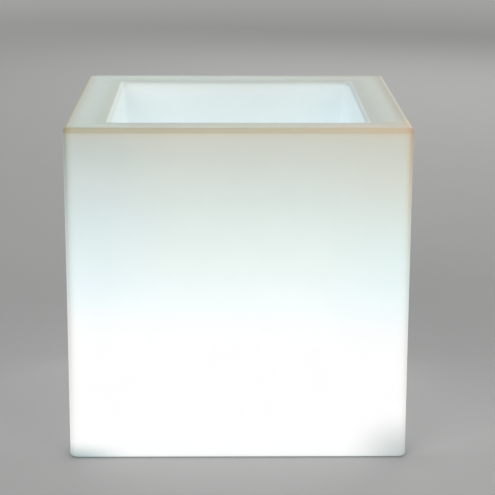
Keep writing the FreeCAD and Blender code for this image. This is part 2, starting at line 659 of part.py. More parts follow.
def reflector():
    """White dish on the LED board, with a window around each LED."""
    rim_top = REFLECTOR_TOP_Z + REFLECTOR_RIM
    wall = REFLECTOR_THICKNESS
    dish = turned([(0, LED_BOARD_TOP_Z), (LED_BOARD_RADIUS, LED_BOARD_TOP_Z), (LED_BOARD_RADIUS, rim_top),
                   (LED_BOARD_RADIUS - wall, rim_top), (LED_BOARD_RADIUS - wall, REFLECTOR_TOP_Z),
                   (0, REFLECTOR_TOP_Z)])
    window = LED_SIDE + 2 * LOOSE
    holes = [block(window, window, LED_BOARD_TOP_Z - 1, REFLECTOR_TOP_Z + 1, x, y) for x, y in led_places()]
    for x, y in post_places():
        holes.append(disc(SMALL_SCREW_SHANK + LOOSE, LED_BOARD_TOP_Z - 1, REFLECTOR_TOP_Z + 1, x, y))
        holes.append(disc(SMALL_SCREW_HEAD + LOOSE, REFLECTOR_TOP_Z, rim_top + 1, x, y))
    return less(dish, holes)


# ---- Battery -------------------------------------------------------------------------------------
def lying_cylinder(radius, length, y, z, x=0.0):
    """Cylinder along X, centred on x."""
    return Part.makeCylinder(radius, length, Vec(x - length / 2, y, z), ALONG_X)


def battery_cells():
    """Two cells, each with the crimped groove and the raised nose at its positive end."""
    cells = []
    for y in CELL_YS:
        can = lying_cylinder(CELL_RADIUS, CELL_LENGTH, y, CELL_Z)
        crimp_x = CELL_LENGTH / 2 - CELL_CRIMP_INSET
        ring = less(lying_cylinder(CELL_RADIUS + 1, CELL_CRIMP_WIDTH, y, CELL_Z, crimp_x),
                    [lying_cylinder(CELL_RADIUS - CELL_CRIMP, CELL_CRIMP_WIDTH, y, CELL_Z, crimp_x)])
        nose_x = CELL_LENGTH / 2 + CELL_NOSE / 2
        nose = lying_cylinder(CELL_NOSE_RADIUS, CELL_NOSE, y, CELL_Z, nose_x)
        cells.append(fused([less(can, [ring]), nose]))
    return Part.makeCompound(cells)


def cell_straps():
    """Nickel straps that join the cells at both ends."""
    length = CELL_PITCH + STRAP_WIDTH
    straps = []
    for end_x in (-CELL_LENGTH / 2 - STRAP_THICKNESS / 2, CELL_LENGTH / 2 + CELL_NOSE + STRAP_THICKNESS / 2):
        straps.append(block(STRAP_THICKNESS, length, CELL_Z - STRAP_WIDTH / 2, CELL_Z + STRAP_WIDTH / 2,
                            end_x, PACK_Y))
    return Part.makeCompound(straps)


def battery_cradle():
    """Floor plate with three saddles under the cells and a wall at each end."""
    depth = CELL_PITCH + 2 * CELL_RADIUS
    floor_top = FLANGE_TOP_Z + CRADLE_FLOOR
    plate = block(2 * CRADLE_HALF_LENGTH, depth, FLANGE_TOP_Z, floor_top, 0, PACK_Y)
    solids = [plate]
    for x in (-CELL_LENGTH / 3, 0.0, CELL_LENGTH / 3):
        solids.append(block(CRADLE_SADDLE, depth, FLANGE_TOP_Z + 1, floor_top + CRADLE_SADDLE, x, PACK_Y))
    end_top = floor_top + CRADLE_END_HEIGHT
    for side in (-1, 1):
        wall_x = side * (CRADLE_HALF_LENGTH - CRADLE_WALL / 2)
        solids.append(block(CRADLE_WALL, depth, FLANGE_TOP_Z + 1, end_top, wall_x, PACK_Y))
    seats = [lying_cylinder(CELL_RADIUS + LOOSE / 2, CELL_LENGTH, y, CELL_Z) for y in CELL_YS]
    return less(fused(solids), seats)


def battery_clamp():
    """Band that arches over both cells and is screwed down at its tabs."""
    inner_radius = CELL_RADIUS + LOOSE
    outer_radius = inner_radius + BAND_THICKNESS
    arches = [lying_cylinder(outer_radius, BAND_WIDTH, y, CELL_Z) for y in CELL_YS]
    tab_length = BAND_TAB + BAND_THICKNESS
    for side in (-1, 1):
        tab_y = PACK_Y + side * (BAND_HALF_SPAN + BAND_TAB - tab_length / 2)
        arches.append(block(BAND_WIDTH, tab_length, CELL_Z, CELL_Z + BAND_TAB_THICKNESS, 0, tab_y))
    holes = [lying_cylinder(inner_radius, BAND_WIDTH + 2, y, CELL_Z) for y in CELL_YS]
    below = 2 * outer_radius
    holes.append(block(BAND_WIDTH + 2, 4 * BAND_SCREW_OFFSET, CELL_Z - below, CELL_Z, 0, PACK_Y))
    for x, y in band_screw_places():
        holes.append(disc(SMALL_SCREW_SHANK + LOOSE, CELL_Z - 1, CELL_Z + BAND_TAB_THICKNESS + 1, x, y))
    return less(fused(arches), holes)


# ---- Control board -------------------------------------------------------------------------------
def header_places():
    """(x, y) of the wire headers on the board's rear edge, for jack, battery and LED board."""
    y = BUTTON_Y + CONTROL_DEPTH / 2 - HEADER_DEPTH / 2 - 1.0
    return [(CONTROL_X + (i - 1) * HEADER_PITCH, y) for i in range(3)]


def control_board():
    """Board over the button, with a slot for the light pipe's LED."""
    board = block(CONTROL_LENGTH, CONTROL_DEPTH, CONTROL_Z, CONTROL_TOP_Z, CONTROL_X, BUTTON_Y)
    holes = [disc(SMALL_SCREW_SHANK + LOOSE, CONTROL_Z - 1, CONTROL_TOP_Z + 1, x, y)
             for x, y in control_screw_places()]
    return less(board, holes)


def board_components():
    """Coil, chip and capacitor on the control board."""
    y = BUTTON_Y - 1.5
    coil_x = CONTROL_X - 8.0
    waist = COIL_RADIUS * 0.75
    quarter = COIL_HEIGHT / 4
    coil = turned([(0, CONTROL_TOP_Z), (COIL_RADIUS, CONTROL_TOP_Z), (COIL_RADIUS, CONTROL_TOP_Z + quarter),
                   (waist, CONTROL_TOP_Z + quarter), (waist, CONTROL_TOP_Z + 3 * quarter),
                   (COIL_RADIUS, CONTROL_TOP_Z + 3 * quarter), (COIL_RADIUS, CONTROL_TOP_Z + COIL_HEIGHT),
                   (0, CONTROL_TOP_Z + COIL_HEIGHT)], coil_x, y)
    chip = block(CHIP_SIDE, CHIP_SIDE, CONTROL_TOP_Z, CONTROL_TOP_Z + CHIP_HEIGHT, CONTROL_X, y)
    capacitor = disc(CAPACITOR_RADIUS, CONTROL_TOP_Z, CONTROL_TOP_Z + CAPACITOR_HEIGHT, CONTROL_X + 7.0, y)
    return Part.makeCompound([coil, chip, capacitor])


def wire_headers():
    """Three small connectors, each with a hole in its top for the wires."""
    top_z = CONTROL_TOP_Z + HEADER_HEIGHT
    headers = []
    for x, y in header_places():
        body = block(HEADER_LENGTH, HEADER_DEPTH, CONTROL_TOP_Z, top_z, x, y)
        headers.append(less(body, [disc(WIRE_RADIUS, top_z - HEADER_HOLE, top_z + 1, x, y)]))
    return Part.makeCompound(headers)


def tact_switch():
    """Switch under the control board, with a bore for its plunger."""
    body = block(SWITCH_SIDE, SWITCH_SIDE, SWITCH_Z, CONTROL_Z, BUTTON_X, BUTTON_Y)
    return less(body, [disc(PLUNGER_RADIUS + RUNNING, SWITCH_Z - 1, PLUNGER_HOLE_TOP_Z, BUTTON_X, BUTTON_Y)])


def switch_plunger():
    """Plunger that the button's stem pushes."""
    return disc(PLUNGER_RADIUS, STEM_TOP_Z, PLUNGER_TOP_Z, BUTTON_X, BUTTON_Y)


# ---- Push button ---------------------------------------------------------------------------------
def power_button():
    """Hollow cap with a dished face and a stem that has a groove for its clip."""
    rim = BUTTON_RADIUS - BUTTON_SKIN
    edge = 0.6
    neck = BUTTON_STEM_RADIUS - CLIP_GROOVE
    clip_top = CLIP_Z + CLIP_THICKNESS
    stem = BUTTON_STEM_RADIUS
    outline = [(0, BUTTON_Z + BUTTON_DISH), (BUTTON_RADIUS * 0.6, BUTTON_Z), (BUTTON_RADIUS - edge, BUTTON_Z),
               (BUTTON_RADIUS, BUTTON_Z + edge), (BUTTON_RADIUS, BUTTON_TOP_Z), (rim, BUTTON_TOP_Z),
               (rim, BUTTON_Z + BUTTON_SKIN), (stem, BUTTON_Z + BUTTON_SKIN), (stem, CLIP_Z), (neck, CLIP_Z),
               (neck, clip_top), (stem, clip_top), (stem, STEM_TOP_Z), (0, STEM_TOP_Z)]
    return turned(outline, BUTTON_X, BUTTON_Y)


def button_clip():
    """Open ring in the stem's groove, which stops the button from falling out."""
    neck = BUTTON_STEM_RADIUS - CLIP_GROOVE
    ring = less(disc(CLIP_RADIUS, CLIP_Z, CLIP_Z + CLIP_THICKNESS, BUTTON_X, BUTTON_Y),
                [disc(neck, CLIP_Z - 1, CLIP_Z + CLIP_THICKNESS + 1, BUTTON_X, BUTTON_Y)])
    slot_width = 2 * neck * 0.8
    slot = block(slot_width, CLIP_RADIUS, CLIP_Z - 1, CLIP_Z + CLIP_THICKNESS + 1,
                 BUTTON_X, BUTTON_Y - CLIP_RADIUS / 2 - neck * 0.6)
    return less(ring, [slot])


def button_spring():
    """Coil spring between the cap's floor and the pocket's ceiling, in short runs."""
    wire_radius = SPRING_WIRE / 2
    low_z = BUTTON_Z + BUTTON_SKIN + wire_radius
    rise = BUTTON_POCKET_Z - wire_radius - low_z
    runs = round(SPRING_TURNS * SPRING_RUNS_PER_TURN)
    sections = []
    for step in range(runs + 1):
        turn = FreeCAD.Rotation(UP, 360 * SPRING_TURNS * step / runs)
        outline = cord_section(wire_radius, (SPRING_RADIUS, low_z + rise * step / runs))
        corners = [turn.multVec(Vec(radius, 0, z)) for radius, z in outline]
        sections.append(Part.makePolygon(corners + corners[:1]))
    spring = Part.makeLoft(sections, True, True)
    spring.translate(Vec(BUTTON_X, BUTTON_Y, 0))
    return spring


def button_seal():
    """O-ring around the stem."""
    radius = BUTTON_SEAL_SECTION / 2
    middle_z = (BUTTON_POCKET_Z + GUIDE_TOP_Z) / 2
    outline = cord_section(radius, (BUTTON_STEM_RADIUS + RUNNING + radius, middle_z))
    return turned(outline, BUTTON_X, BUTTON_Y)


def indicator_lens():
    """Light pipe with a flat head that lies flush in the flange."""
    shoulder_z = FLANGE_Z + PIPE_HEAD
    return turned([(0, FLANGE_Z), (PIPE_HEAD_RADIUS, FLANGE_Z), (PIPE_HEAD_RADIUS, shoulder_z),
                   (PIPE_RADIUS, shoulder_z), (PIPE_RADIUS, CONTROL_Z - PIPE_TOP_GAP),
                   (0, CONTROL_Z - PIPE_TOP_GAP)], PIPE_X, PIPE_Y)


# ---- Charging socket -----------------------------------------------------------------------------
def charge_jack():
    """Barrel socket with a flanged head, a threaded bush and a round body with two terminals."""
    bore_top = JACK_HEAD_Z + JACK_BORE_DEPTH
    body = turned([(JACK_BORE_RADIUS, JACK_HEAD_Z), (JACK_HEAD_RADIUS, JACK_HEAD_Z),
                   (JACK_HEAD_RADIUS, JACK_HEAD_Z + JACK_HEAD), (JACK_BUSH_RADIUS, JACK_HEAD_Z + JACK_HEAD),
                   (JACK_BUSH_RADIUS, JACK_BUSH_TOP_Z), (JACK_BODY_RADIUS, JACK_BUSH_TOP_Z),
                   (JACK_BODY_RADIUS, JACK_BODY_TOP_Z), (0, JACK_BODY_TOP_Z), (0, bore_top),
                   (JACK_BORE_RADIUS, bore_top)], JACK_X, JACK_Y)
    terminals = [block(0.8, 2.4, JACK_BODY_TOP_Z - 1, JACK_BODY_TOP_Z + JACK_TERMINAL, JACK_X + dx, JACK_Y)
                 for dx in (-JACK_TERMINAL_OFFSET, JACK_TERMINAL_OFFSET)]
    pin_hole = disc(JACK_PIN_RADIUS, bore_top - 1, JACK_BODY_TOP_Z - 1, JACK_X, JACK_Y)
    return less(fused([body] + terminals), [pin_hole])


def jack_pin():
    """Centre pin of the socket, with a rounded tip."""
    tip_z = JACK_HEAD_Z + JACK_PIN_RECESS
    chamfer = JACK_PIN_RADIUS * 0.4
    return turned([(0, tip_z), (JACK_PIN_RADIUS - chamfer, tip_z), (JACK_PIN_RADIUS, tip_z + chamfer),
                   (JACK_PIN_RADIUS, JACK_BODY_TOP_Z - 1), (0, JACK_BODY_TOP_Z - 1)], JACK_X, JACK_Y)


def jack_nut():
    """Hexagon nut on the socket's bush, inside the cup."""
    nut = hexagon(JACK_NUT_FLATS, FLANGE_TOP_Z, FLANGE_TOP_Z + JACK_NUT_HEIGHT, JACK_X, JACK_Y)
    return less(nut, [disc(JACK_BUSH_RADIUS + RUNNING, FLANGE_TOP_Z - 1, FLANGE_TOP_Z + JACK_NUT_HEIGHT + 1,
                           JACK_X, JACK_Y)])


def jack_washer():
    """Sealing washer under the socket's head."""
    low_z = JACK_SEAT_Z - JACK_WASHER
    ring = disc(JACK_HEAD_RADIUS, low_z, JACK_SEAT_Z, JACK_X, JACK_Y)
    return less(ring, [disc(JACK_BUSH_RADIUS + RUNNING, low_z - 1, JACK_SEAT_Z + 1, JACK_X, JACK_Y)])


# ---- Cover of the charging socket ----------------------------------------------------------------
def anchor_middle_y():
    """Middle of the cover's anchor, just past the hinge line."""
    return HINGE_Y + ANCHOR_DEPTH / 2 - COVER_THICKNESS / 2


def cover_anchor():
    """Root of the cover's strap, flush in the flange, with a barbed stud through the cup's floor."""
    y = anchor_middle_y()
    pad = block(ANCHOR_WIDTH, ANCHOR_DEPTH, FLANGE_Z, FLANGE_Z + ANCHOR_THICKNESS, JACK_X, y)
    stud = turned([(0, FLANGE_Z + 1), (ANCHOR_STUD_RADIUS, FLANGE_Z + 1), (ANCHOR_STUD_RADIUS, FLANGE_TOP_Z),
                   (ANCHOR_BARB_RADIUS, FLANGE_TOP_Z), (ANCHOR_STUD_RADIUS * 0.6, FLANGE_TOP_Z + ANCHOR_BARB),
                   (0, FLANGE_TOP_Z + ANCHOR_BARB)], JACK_X, y)
    return fused([pad, stud])


def port_cover():
    """Round cover with a plug, a finger lip and a strap that turns about the hinge line."""
    plate = disc(COVER_RADIUS, COVER_Z, COVER_TOP_Z, JACK_X, JACK_Y)
    strap = block(COVER_STRAP_WIDTH, COVER_HINGE, COVER_Z, COVER_TOP_Z, JACK_X, JACK_Y + COVER_HINGE / 2)
    knuckle = lying_cylinder(COVER_THICKNESS / 2, COVER_STRAP_WIDTH, HINGE_Y, HINGE_Z, JACK_X)
    lip_reach = COVER_RADIUS + COVER_LIP
    lip = block(COVER_LIP_WIDTH, lip_reach, COVER_Z, COVER_TOP_Z, JACK_X, JACK_Y - lip_reach / 2)
    far_edges = [edge for edge in upright_edges(lip) if edge.BoundBox.YMax < JACK_Y - 1]
    lip = lip.makeFillet(COVER_LIP_WIDTH * 0.3, far_edges)
    plug_base = JACK_BORE_RADIUS - LOOSE
    plug = cone(plug_base, COVER_PLUG_TOP_RADIUS, COVER_TOP_Z - 0.5, COVER_TOP_Z + COVER_PLUG_HEIGHT,
                JACK_X, JACK_Y)
    return fused([plate, strap, knuckle, lip, plug])


# ---- Wires ---------------------------------------------------------------------------------------
def rounded_path(points):
    """Straight runs joined by tangent arcs, each as large as its two runs allow."""
    edges = []
    start = points[0]
    for before, corner, after in zip(points, points[1:], points[2:]):
        run_in = corner - before
        run_out = after - corner
        half_turn = run_in.getAngle(run_out) / 2
        reach = 0.45 * min(run_in.Length, run_out.Length)
        radius = reach / math.tan(half_turn)
        arc_start = corner - run_in.normalize() * reach
        arc_end = corner + run_out.normalize() * reach
        inward = (arc_start + arc_end) / 2 - corner
        to_middle = radius / math.cos(half_turn) - radius
        arc_middle = corner + inward.normalize() * to_middle
        edges.append(Part.LineSegment(start, arc_start).toShape())
        edges.append(Part.Arc(arc_start, arc_middle, arc_end).toShape())
        start = arc_end
        print("wire bend radius", round(radius, 1))
    edges.append(Part.LineSegment(start, points[-1]).toShape())
    return Part.Wire(edges)


def wire(points):
    """Wire of hexagonal section along a route of hand-chosen points."""
    path = rounded_path(points)
    facing = FreeCAD.Rotation(UP, points[1] - points[0])
    corners = [points[0] + facing.multVec(Vec(x, y, 0)) for x, y in circle_places(6, 2 * WIRE_RADIUS)]
    section = Part.makePolygon(corners + corners[:1])
    tube = path.makePipeShell([section], True, True)
    share = tube.Volume / (1.5 * math.sqrt(3) * WIRE_RADIUS ** 2 * path.Length)
    print("wire length", round(path.Length, 1), "volume share", round(share, 3))
    return tube


def header_top(index):
    """Bottom of the wire hole in one header."""
    x, y = header_places()[index]
    return Vec(x, y, CONTROL_TOP_Z + HEADER_HEIGHT - HEADER_HOLE)


def jack_lead():
    """From the socket's terminal to the first header."""
    start = Vec(JACK_X + JACK_TERMINAL_OFFSET, JACK_Y, JACK_BODY_TOP_Z + JACK_TERMINAL)
    end = header_top(0)
    return wire([start, start + Vec(0, 0, 7), start + Vec(5, 2, 13),
                 end + Vec(-6, 0, 14), end + Vec(0, 0, 9), end])


def battery_lead():
    """From the strap at the cells' positive end to the second header."""
    start = Vec(CELL_LENGTH / 2 + CELL_NOSE, PACK_Y, CELL_Z + STRAP_WIDTH / 2 + WIRE_RADIUS)
    end = header_top(1)
    return wire([start, start + Vec(-7, -3, 9), start + Vec(-16, -12, 13),
                 end + Vec(5, 3, 15), end + Vec(0, 0, 8), end])


def led_lead():
    """From the third header up to the underside of the LED board."""
    start = header_top(2)
    end = Vec(4.0, -18.0, POST_TOP_Z)
    return wire([start, start + Vec(0, 0, 8), start + Vec(4, 5, 14), end + Vec(0, 0, -7), end])


# ---- Files ---------------------------------------------------------------------------------------
def build():
    """Every piece by the name of its file."""
    top_screw_seat = REFLECTOR_TOP_Z
    return {
        "cube_shell": cube_shell(),
        "rubber_feet": rubber_feet(),
        "threaded_inserts": threaded_inserts(),
        "lamp_body": lamp_body(),
        "flange_gasket": flange_gasket(),
        "flange_screws": flange_screws(),
        "lens_dome": lens_dome(),
        "lens_seal": lens_seal(),
        "lens_screws": small_screws(lens_screw_places(), LENS_FLANGE_TOP_Z, SMALL_SCREW_REACH),
        "led_board": led_board(),
        "leds": leds(),
        "reflector": reflector(),
        "board_screws": small_screws(post_places(), top_screw_seat, SMALL_SCREW_REACH),
        "battery_cradle": battery_cradle(),
        "battery_cells": battery_cells(),
        "cell_straps": cell_straps(),
        "battery_clamp": battery_clamp(),
        "clamp_screws": small_screws(band_screw_places(), CELL_Z + BAND_TAB_THICKNESS, SMALL_SCREW_REACH),
        "control_board": control_board(),
        "control_screws": small_screws(control_screw_places(), CONTROL_TOP_Z, CONTROL_SCREW_REACH),
        "board_components": board_components(),
        "wire_headers": wire_headers(),
        "tact_switch": tact_switch(),
        "switch_plunger": switch_plunger(),
        "power_button": power_button(),
        "button_clip": button_clip(),
        "button_spring": button_spring(),
        "button_seal": button_seal(),
        "indicator_lens": indicator_lens(),
        "charge_jack": charge_jack(),
        "jack_pin": jack_pin(),
        "jack_nut": jack_nut(),
        "jack_washer": jack_washer(),
        "cover_anchor": cover_anchor(),
        "port_cover": port_cover(),
        "jack_lead": jack_lead(),
        "battery_lead": battery_lead(),
        "led_lead": led_lead(),
    }


os.makedirs("parts", exist_ok=True)
for node, shape in build().items():
    shape.exportStep("parts/" + node + ".step")
    print(node, "solids", len(shape.Solids), "valid", shape.isValid(), "volume", round(shape.Volume, 1))
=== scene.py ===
"""Dresses the glowing cube planter: a smooth shell with its pads, and a finish for every piece of the lamp.

All sizes are in millimetres in the part's own frame and become metres when a mesh is made.
"""

import json
import logging
import math
from dataclasses import dataclass
from enum import Enum
from typing import Iterable, Mapping, Sequence, Union

import bmesh
import bpy
from mathutils import Matrix, Vector


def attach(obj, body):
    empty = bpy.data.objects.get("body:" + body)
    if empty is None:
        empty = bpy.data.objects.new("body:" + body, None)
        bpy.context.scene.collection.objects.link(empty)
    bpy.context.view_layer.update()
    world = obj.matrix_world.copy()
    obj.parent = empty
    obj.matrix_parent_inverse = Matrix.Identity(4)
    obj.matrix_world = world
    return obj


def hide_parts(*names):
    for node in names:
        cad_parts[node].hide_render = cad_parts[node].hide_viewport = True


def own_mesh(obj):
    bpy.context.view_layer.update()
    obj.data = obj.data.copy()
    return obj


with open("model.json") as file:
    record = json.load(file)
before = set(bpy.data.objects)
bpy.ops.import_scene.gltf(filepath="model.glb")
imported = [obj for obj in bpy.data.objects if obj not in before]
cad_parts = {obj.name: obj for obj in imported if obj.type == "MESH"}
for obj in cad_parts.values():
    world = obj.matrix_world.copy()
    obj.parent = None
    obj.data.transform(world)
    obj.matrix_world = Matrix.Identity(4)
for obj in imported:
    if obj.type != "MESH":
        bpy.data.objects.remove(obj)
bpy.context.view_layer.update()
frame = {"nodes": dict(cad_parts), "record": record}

log = logging.getLogger("cube_planter")

MM = 0.001
Colour = tuple[float, float, float]
Place = tuple[float, float, float]
Number = Union[int, float]
Holder = Union[bpy.types.Material, bpy.types.World]
WHITE: Colour = (1.0, 1.0, 1.0)


# ---- Shader maths ------------------------------------------------------------------------------
class Reading:
    """A value that varies over a surface, for use in Python expressions."""

    def __init__(self, net: "Net", socket: bpy.types.NodeSocket) -> None:
        """Wraps an output socket.

        Args:
            net: the node tree that the socket belongs to.
            socket: the output socket to read.
        """
        self.net = net
        self.socket = socket

    def _math(self, operation: str, *values: Union["Reading", Number]) -> "Reading":
        """Adds a Math node.

        Args:
            operation: the Math node's operation.
            values: its inputs, in order.

        Returns:
            The node's result.
        """
        inputs = dict(enumerate(values))
        return self.net.read(self.net.add("ShaderNodeMath", {"operation": operation}, inputs))

    def __add__(self, other: Union["Reading", Number]) -> "Reading":
        """Sum."""
        return self._math("ADD", self, other)

    def __radd__(self, other: Number) -> "Reading":
        """Sum with a number on the left."""
        return self._math("ADD", other, self)

    def __sub__(self, other: Union["Reading", Number]) -> "Reading":
        """Difference."""
        return self._math("SUBTRACT", self, other)

    def __rsub__(self, other: Number) -> "Reading":
        """Difference from a number."""
        return self._math("SUBTRACT", other, self)

    def __mul__(self, other: Union["Reading", Number]) -> "Reading":
        """Product."""
        return self._math("MULTIPLY", self, other)

    def __rmul__(self, other: Number) -> "Reading":
        """Product with a number on the left."""
        return self._math("MULTIPLY", other, self)

    def __truediv__(self, other: Union["Reading", Number]) -> "Reading":
        """Quotient."""
        return self._math("DIVIDE", self, other)

    def __pow__(self, other: Union["Reading", Number]) -> "Reading":
        """Power."""
        return self._math("POWER", self, other)

    def __abs__(self) -> "Reading":
        """Size without its sign."""
        return self._math("ABSOLUTE", self)

    def larger(self, other: Union["Reading", Number]) -> "Reading":
        """The larger of two values."""
        return self._math("MAXIMUM", self, other)

    def smaller(self, other: Union["Reading", Number]) -> "Reading":
        """The smaller of two values."""
        return self._math("MINIMUM", self, other)

    def rise(self, low: float, high: float, first: float = 0.0, last: float = 1.0) -> "Reading":
        """A smooth step.

        Args:
            low: where the step starts.
            high: where it ends, above the start.
            first: the value before the step.
            last: the value after it.

        Returns:
            A value between the two.
        """
        ends = {1: low, 2: high, 3: first, 4: last}
        node = self.net.add("ShaderNodeMapRange", {"interpolation_type": "SMOOTHSTEP"}, {0: self, **ends})
        return self.net.read(node)

    def fall(self, low: float, high: float) -> "Reading":
        """A smooth step down, from 1 to 0."""
        return self.rise(low, high, 1.0, 0.0)


class Net:
    """The node tree of a material or of the world."""

    def __init__(self, holder: Holder) -> None:
        """Starts an empty tree.

        Args:
            holder: the material or world that it belongs to.
        """
        self.holder = holder
        holder.use_nodes = True
        self.tree = holder.node_tree
        self.tree.nodes.clear()

    def add(self, kind: str, settings: Mapping[str, object], inputs: Mapping[Union[int, str], object]
            ) -> bpy.types.Node:
        """Adds one node.

        Args:
            kind: the node's type.
            settings: its properties, or for a ramp its stops as (place, colour).
            inputs: a value, a colour or a Reading for each socket.

        Returns:
            The new node.
        """
        node = self.tree.nodes.new(kind)
        for name, value in settings.items():
            if name == "stops":
                self._set_stops(node.color_ramp, value)
            else:
                setattr(node, name, value)
        for key, value in inputs.items():
            if isinstance(value, Reading):
                self.tree.links.new(value.socket, node.inputs[key])
            elif isinstance(value, tuple) and node.inputs[key].type == "RGBA":
                node.inputs[key].default_value = (*value, 1.0)
            else:
                node.inputs[key].default_value = value
        return node

    @staticmethod
    def _set_stops(ramp: bpy.types.ColorRamp, stops: Sequence[tuple[float, Colour]]) -> None:
        """Puts stops on a ramp.

        Args:
            ramp: the ramp to fill.
            stops: place and colour of each stop, in rising order.
        """
        while len(ramp.elements) < len(stops):
            ramp.elements.new(1.0)
        for element, (place, colour) in zip(ramp.elements, stops):
            element.position = place
            element.color = (*colour, 1.0)

    def read(self, node: bpy.types.Node, output: Union[int, str] = 0) -> Reading:
        """One output of a node."""
        return Reading(self, node.outputs[output])

    def place(self) -> tuple[Reading, Reading, Reading]:
        """Where the surface point lies.

        Returns:
            Its x, y and z in millimetres.
        """
        coordinates = self.add("ShaderNodeTexCoord", {}, {})
        split = self.add("ShaderNodeSeparateXYZ", {}, {0: self.read(coordinates, "Object")})
        return tuple(self.read(split, axis) / MM for axis in range(3))

    def point(self, stretch: Place = (1.0, 1.0, 1.0)) -> Reading:
        """The surface point as a vector.

        Args:
            stretch: factor along each axis, for patterns that run one way.

        Returns:
            The stretched point.
        """
        coordinates = self.add("ShaderNodeTexCoord", {}, {})
        scaled = self.add("ShaderNodeVectorMath", {"operation": "MULTIPLY"},
                          {0: self.read(coordinates, "Object"), 1: stretch})
        return self.read(scaled)

    def noise(self, size: float, detail: float = 3.0, stretch: Place = (1.0, 1.0, 1.0)) -> Reading:
        """Cloudy variation.

        Args:
            size: rough size of one cloud in millimetres.
            detail: how many finer layers it has.
            stretch: factor along each axis.

        Returns:
            A value round 0.5.
        """
        inputs = {"Vector": self.point(stretch), "Scale": 1.0 / (size * MM), "Detail": detail, "Roughness": 0.55}
        return self.read(self.add("ShaderNodeTexNoise", {}, inputs), "Fac")

    def mix(self, factor: Union[Reading, float], first: Union[Reading, Colour], second: Union[Reading, Colour],
            mode: str = "MIX") -> Reading:
        """Mixes two colours.

        Args:
            factor: share of the second colour.
            first: the first colour.
            second: the second colour.
            mode: how they are mixed.

        Returns:
            The mixed colour, never under black.
        """
        settings = {"data_type": "RGBA", "blend_type": mode, "clamp_result": mode == "SUBTRACT"}
        node = self.add("ShaderNodeMix", settings, {0: factor, 6: first, 7: second})
        return self.read(node, 2)

    def grey(self, value: Reading) -> Reading:
        """A value as a grey colour."""
        return self.read(self.add("ShaderNodeCombineColor", {}, {0: value, 1: value, 2: value}))

    def ramp(self, factor: Reading, stops: Sequence[tuple[float, Colour]]) -> Reading:
        """A colour that follows a value.

        Args:
            factor: the value, from 0 to 1.
            stops: place and colour of each stop.

        Returns:
            The colour.
        """
        return self.read(self.add("ShaderNodeValToRGB", {"stops": stops}, {0: factor}))

    def bump(self, height: Reading, strength: float, distance: float) -> Reading:
        """Relief from a height.

        Args:
            height: the height, from 0 to 1.
            strength: how much of the relief shows.
            distance: height of the relief in millimetres.

        Returns:
            The new normal.
        """
        inputs = {"Height": height, "Strength": strength, "Distance": distance * MM}
        return self.read(self.add("ShaderNodeBump", {}, inputs))

    def times(self, first: Reading, second: Union[Reading, Colour]) -> Reading:
        """The product of two colours."""
        return self.mix(1.0, first, second, "MULTIPLY")

    def seen(self) -> Reading:
        """Tells what looks at the surface.

        Returns:
            1 for the camera, a gloss or a clear piece, and 0 for the light that falls on other surfaces.
        """
        path = self.add("ShaderNodeLightPath", {}, {})
        rays = [self.read(path, f"Is {kind} Ray") for kind in ("Camera", "Glossy", "Transmission")]
        return (rays[0] + rays[1] + rays[2]).smaller(1.0)

    def surface(self, sockets: Mapping[str, object]) -> bpy.types.Node:
        """The plain shader, with a value or Reading for each of its sockets."""
        return self.add("ShaderNodeBsdfPrincipled", {}, sockets)

    def between(self, factor: Reading, first: bpy.types.Node, second: bpy.types.Node) -> bpy.types.Node:
        """Mixes two shaders.

        Args:
            factor: share of the second one.
            first: the first shader.
            second: the second shader.

        Returns:
            The mixed shader.
        """
        return self.add("ShaderNodeMixShader", {}, {0: factor, 1: self.read(first), 2: self.read(second)})

    def end(self, shader: bpy.types.Node) -> Holder:
        """Ends the tree in a shader.

        Args:
            shader: the shader's node.

        Returns:
            The finished material or world.
        """
        kind = "World" if isinstance(self.holder, bpy.types.World) else "Material"
        self.add("ShaderNodeOutput" + kind, {}, {0: self.read(shader)})
        return self.holder

    def close(self, sockets: Mapping[str, object]) -> bpy.types.Material:
        """Ends the tree in the plain shader, with a value or Reading for each of its sockets."""
        return self.end(self.surface(sockets))


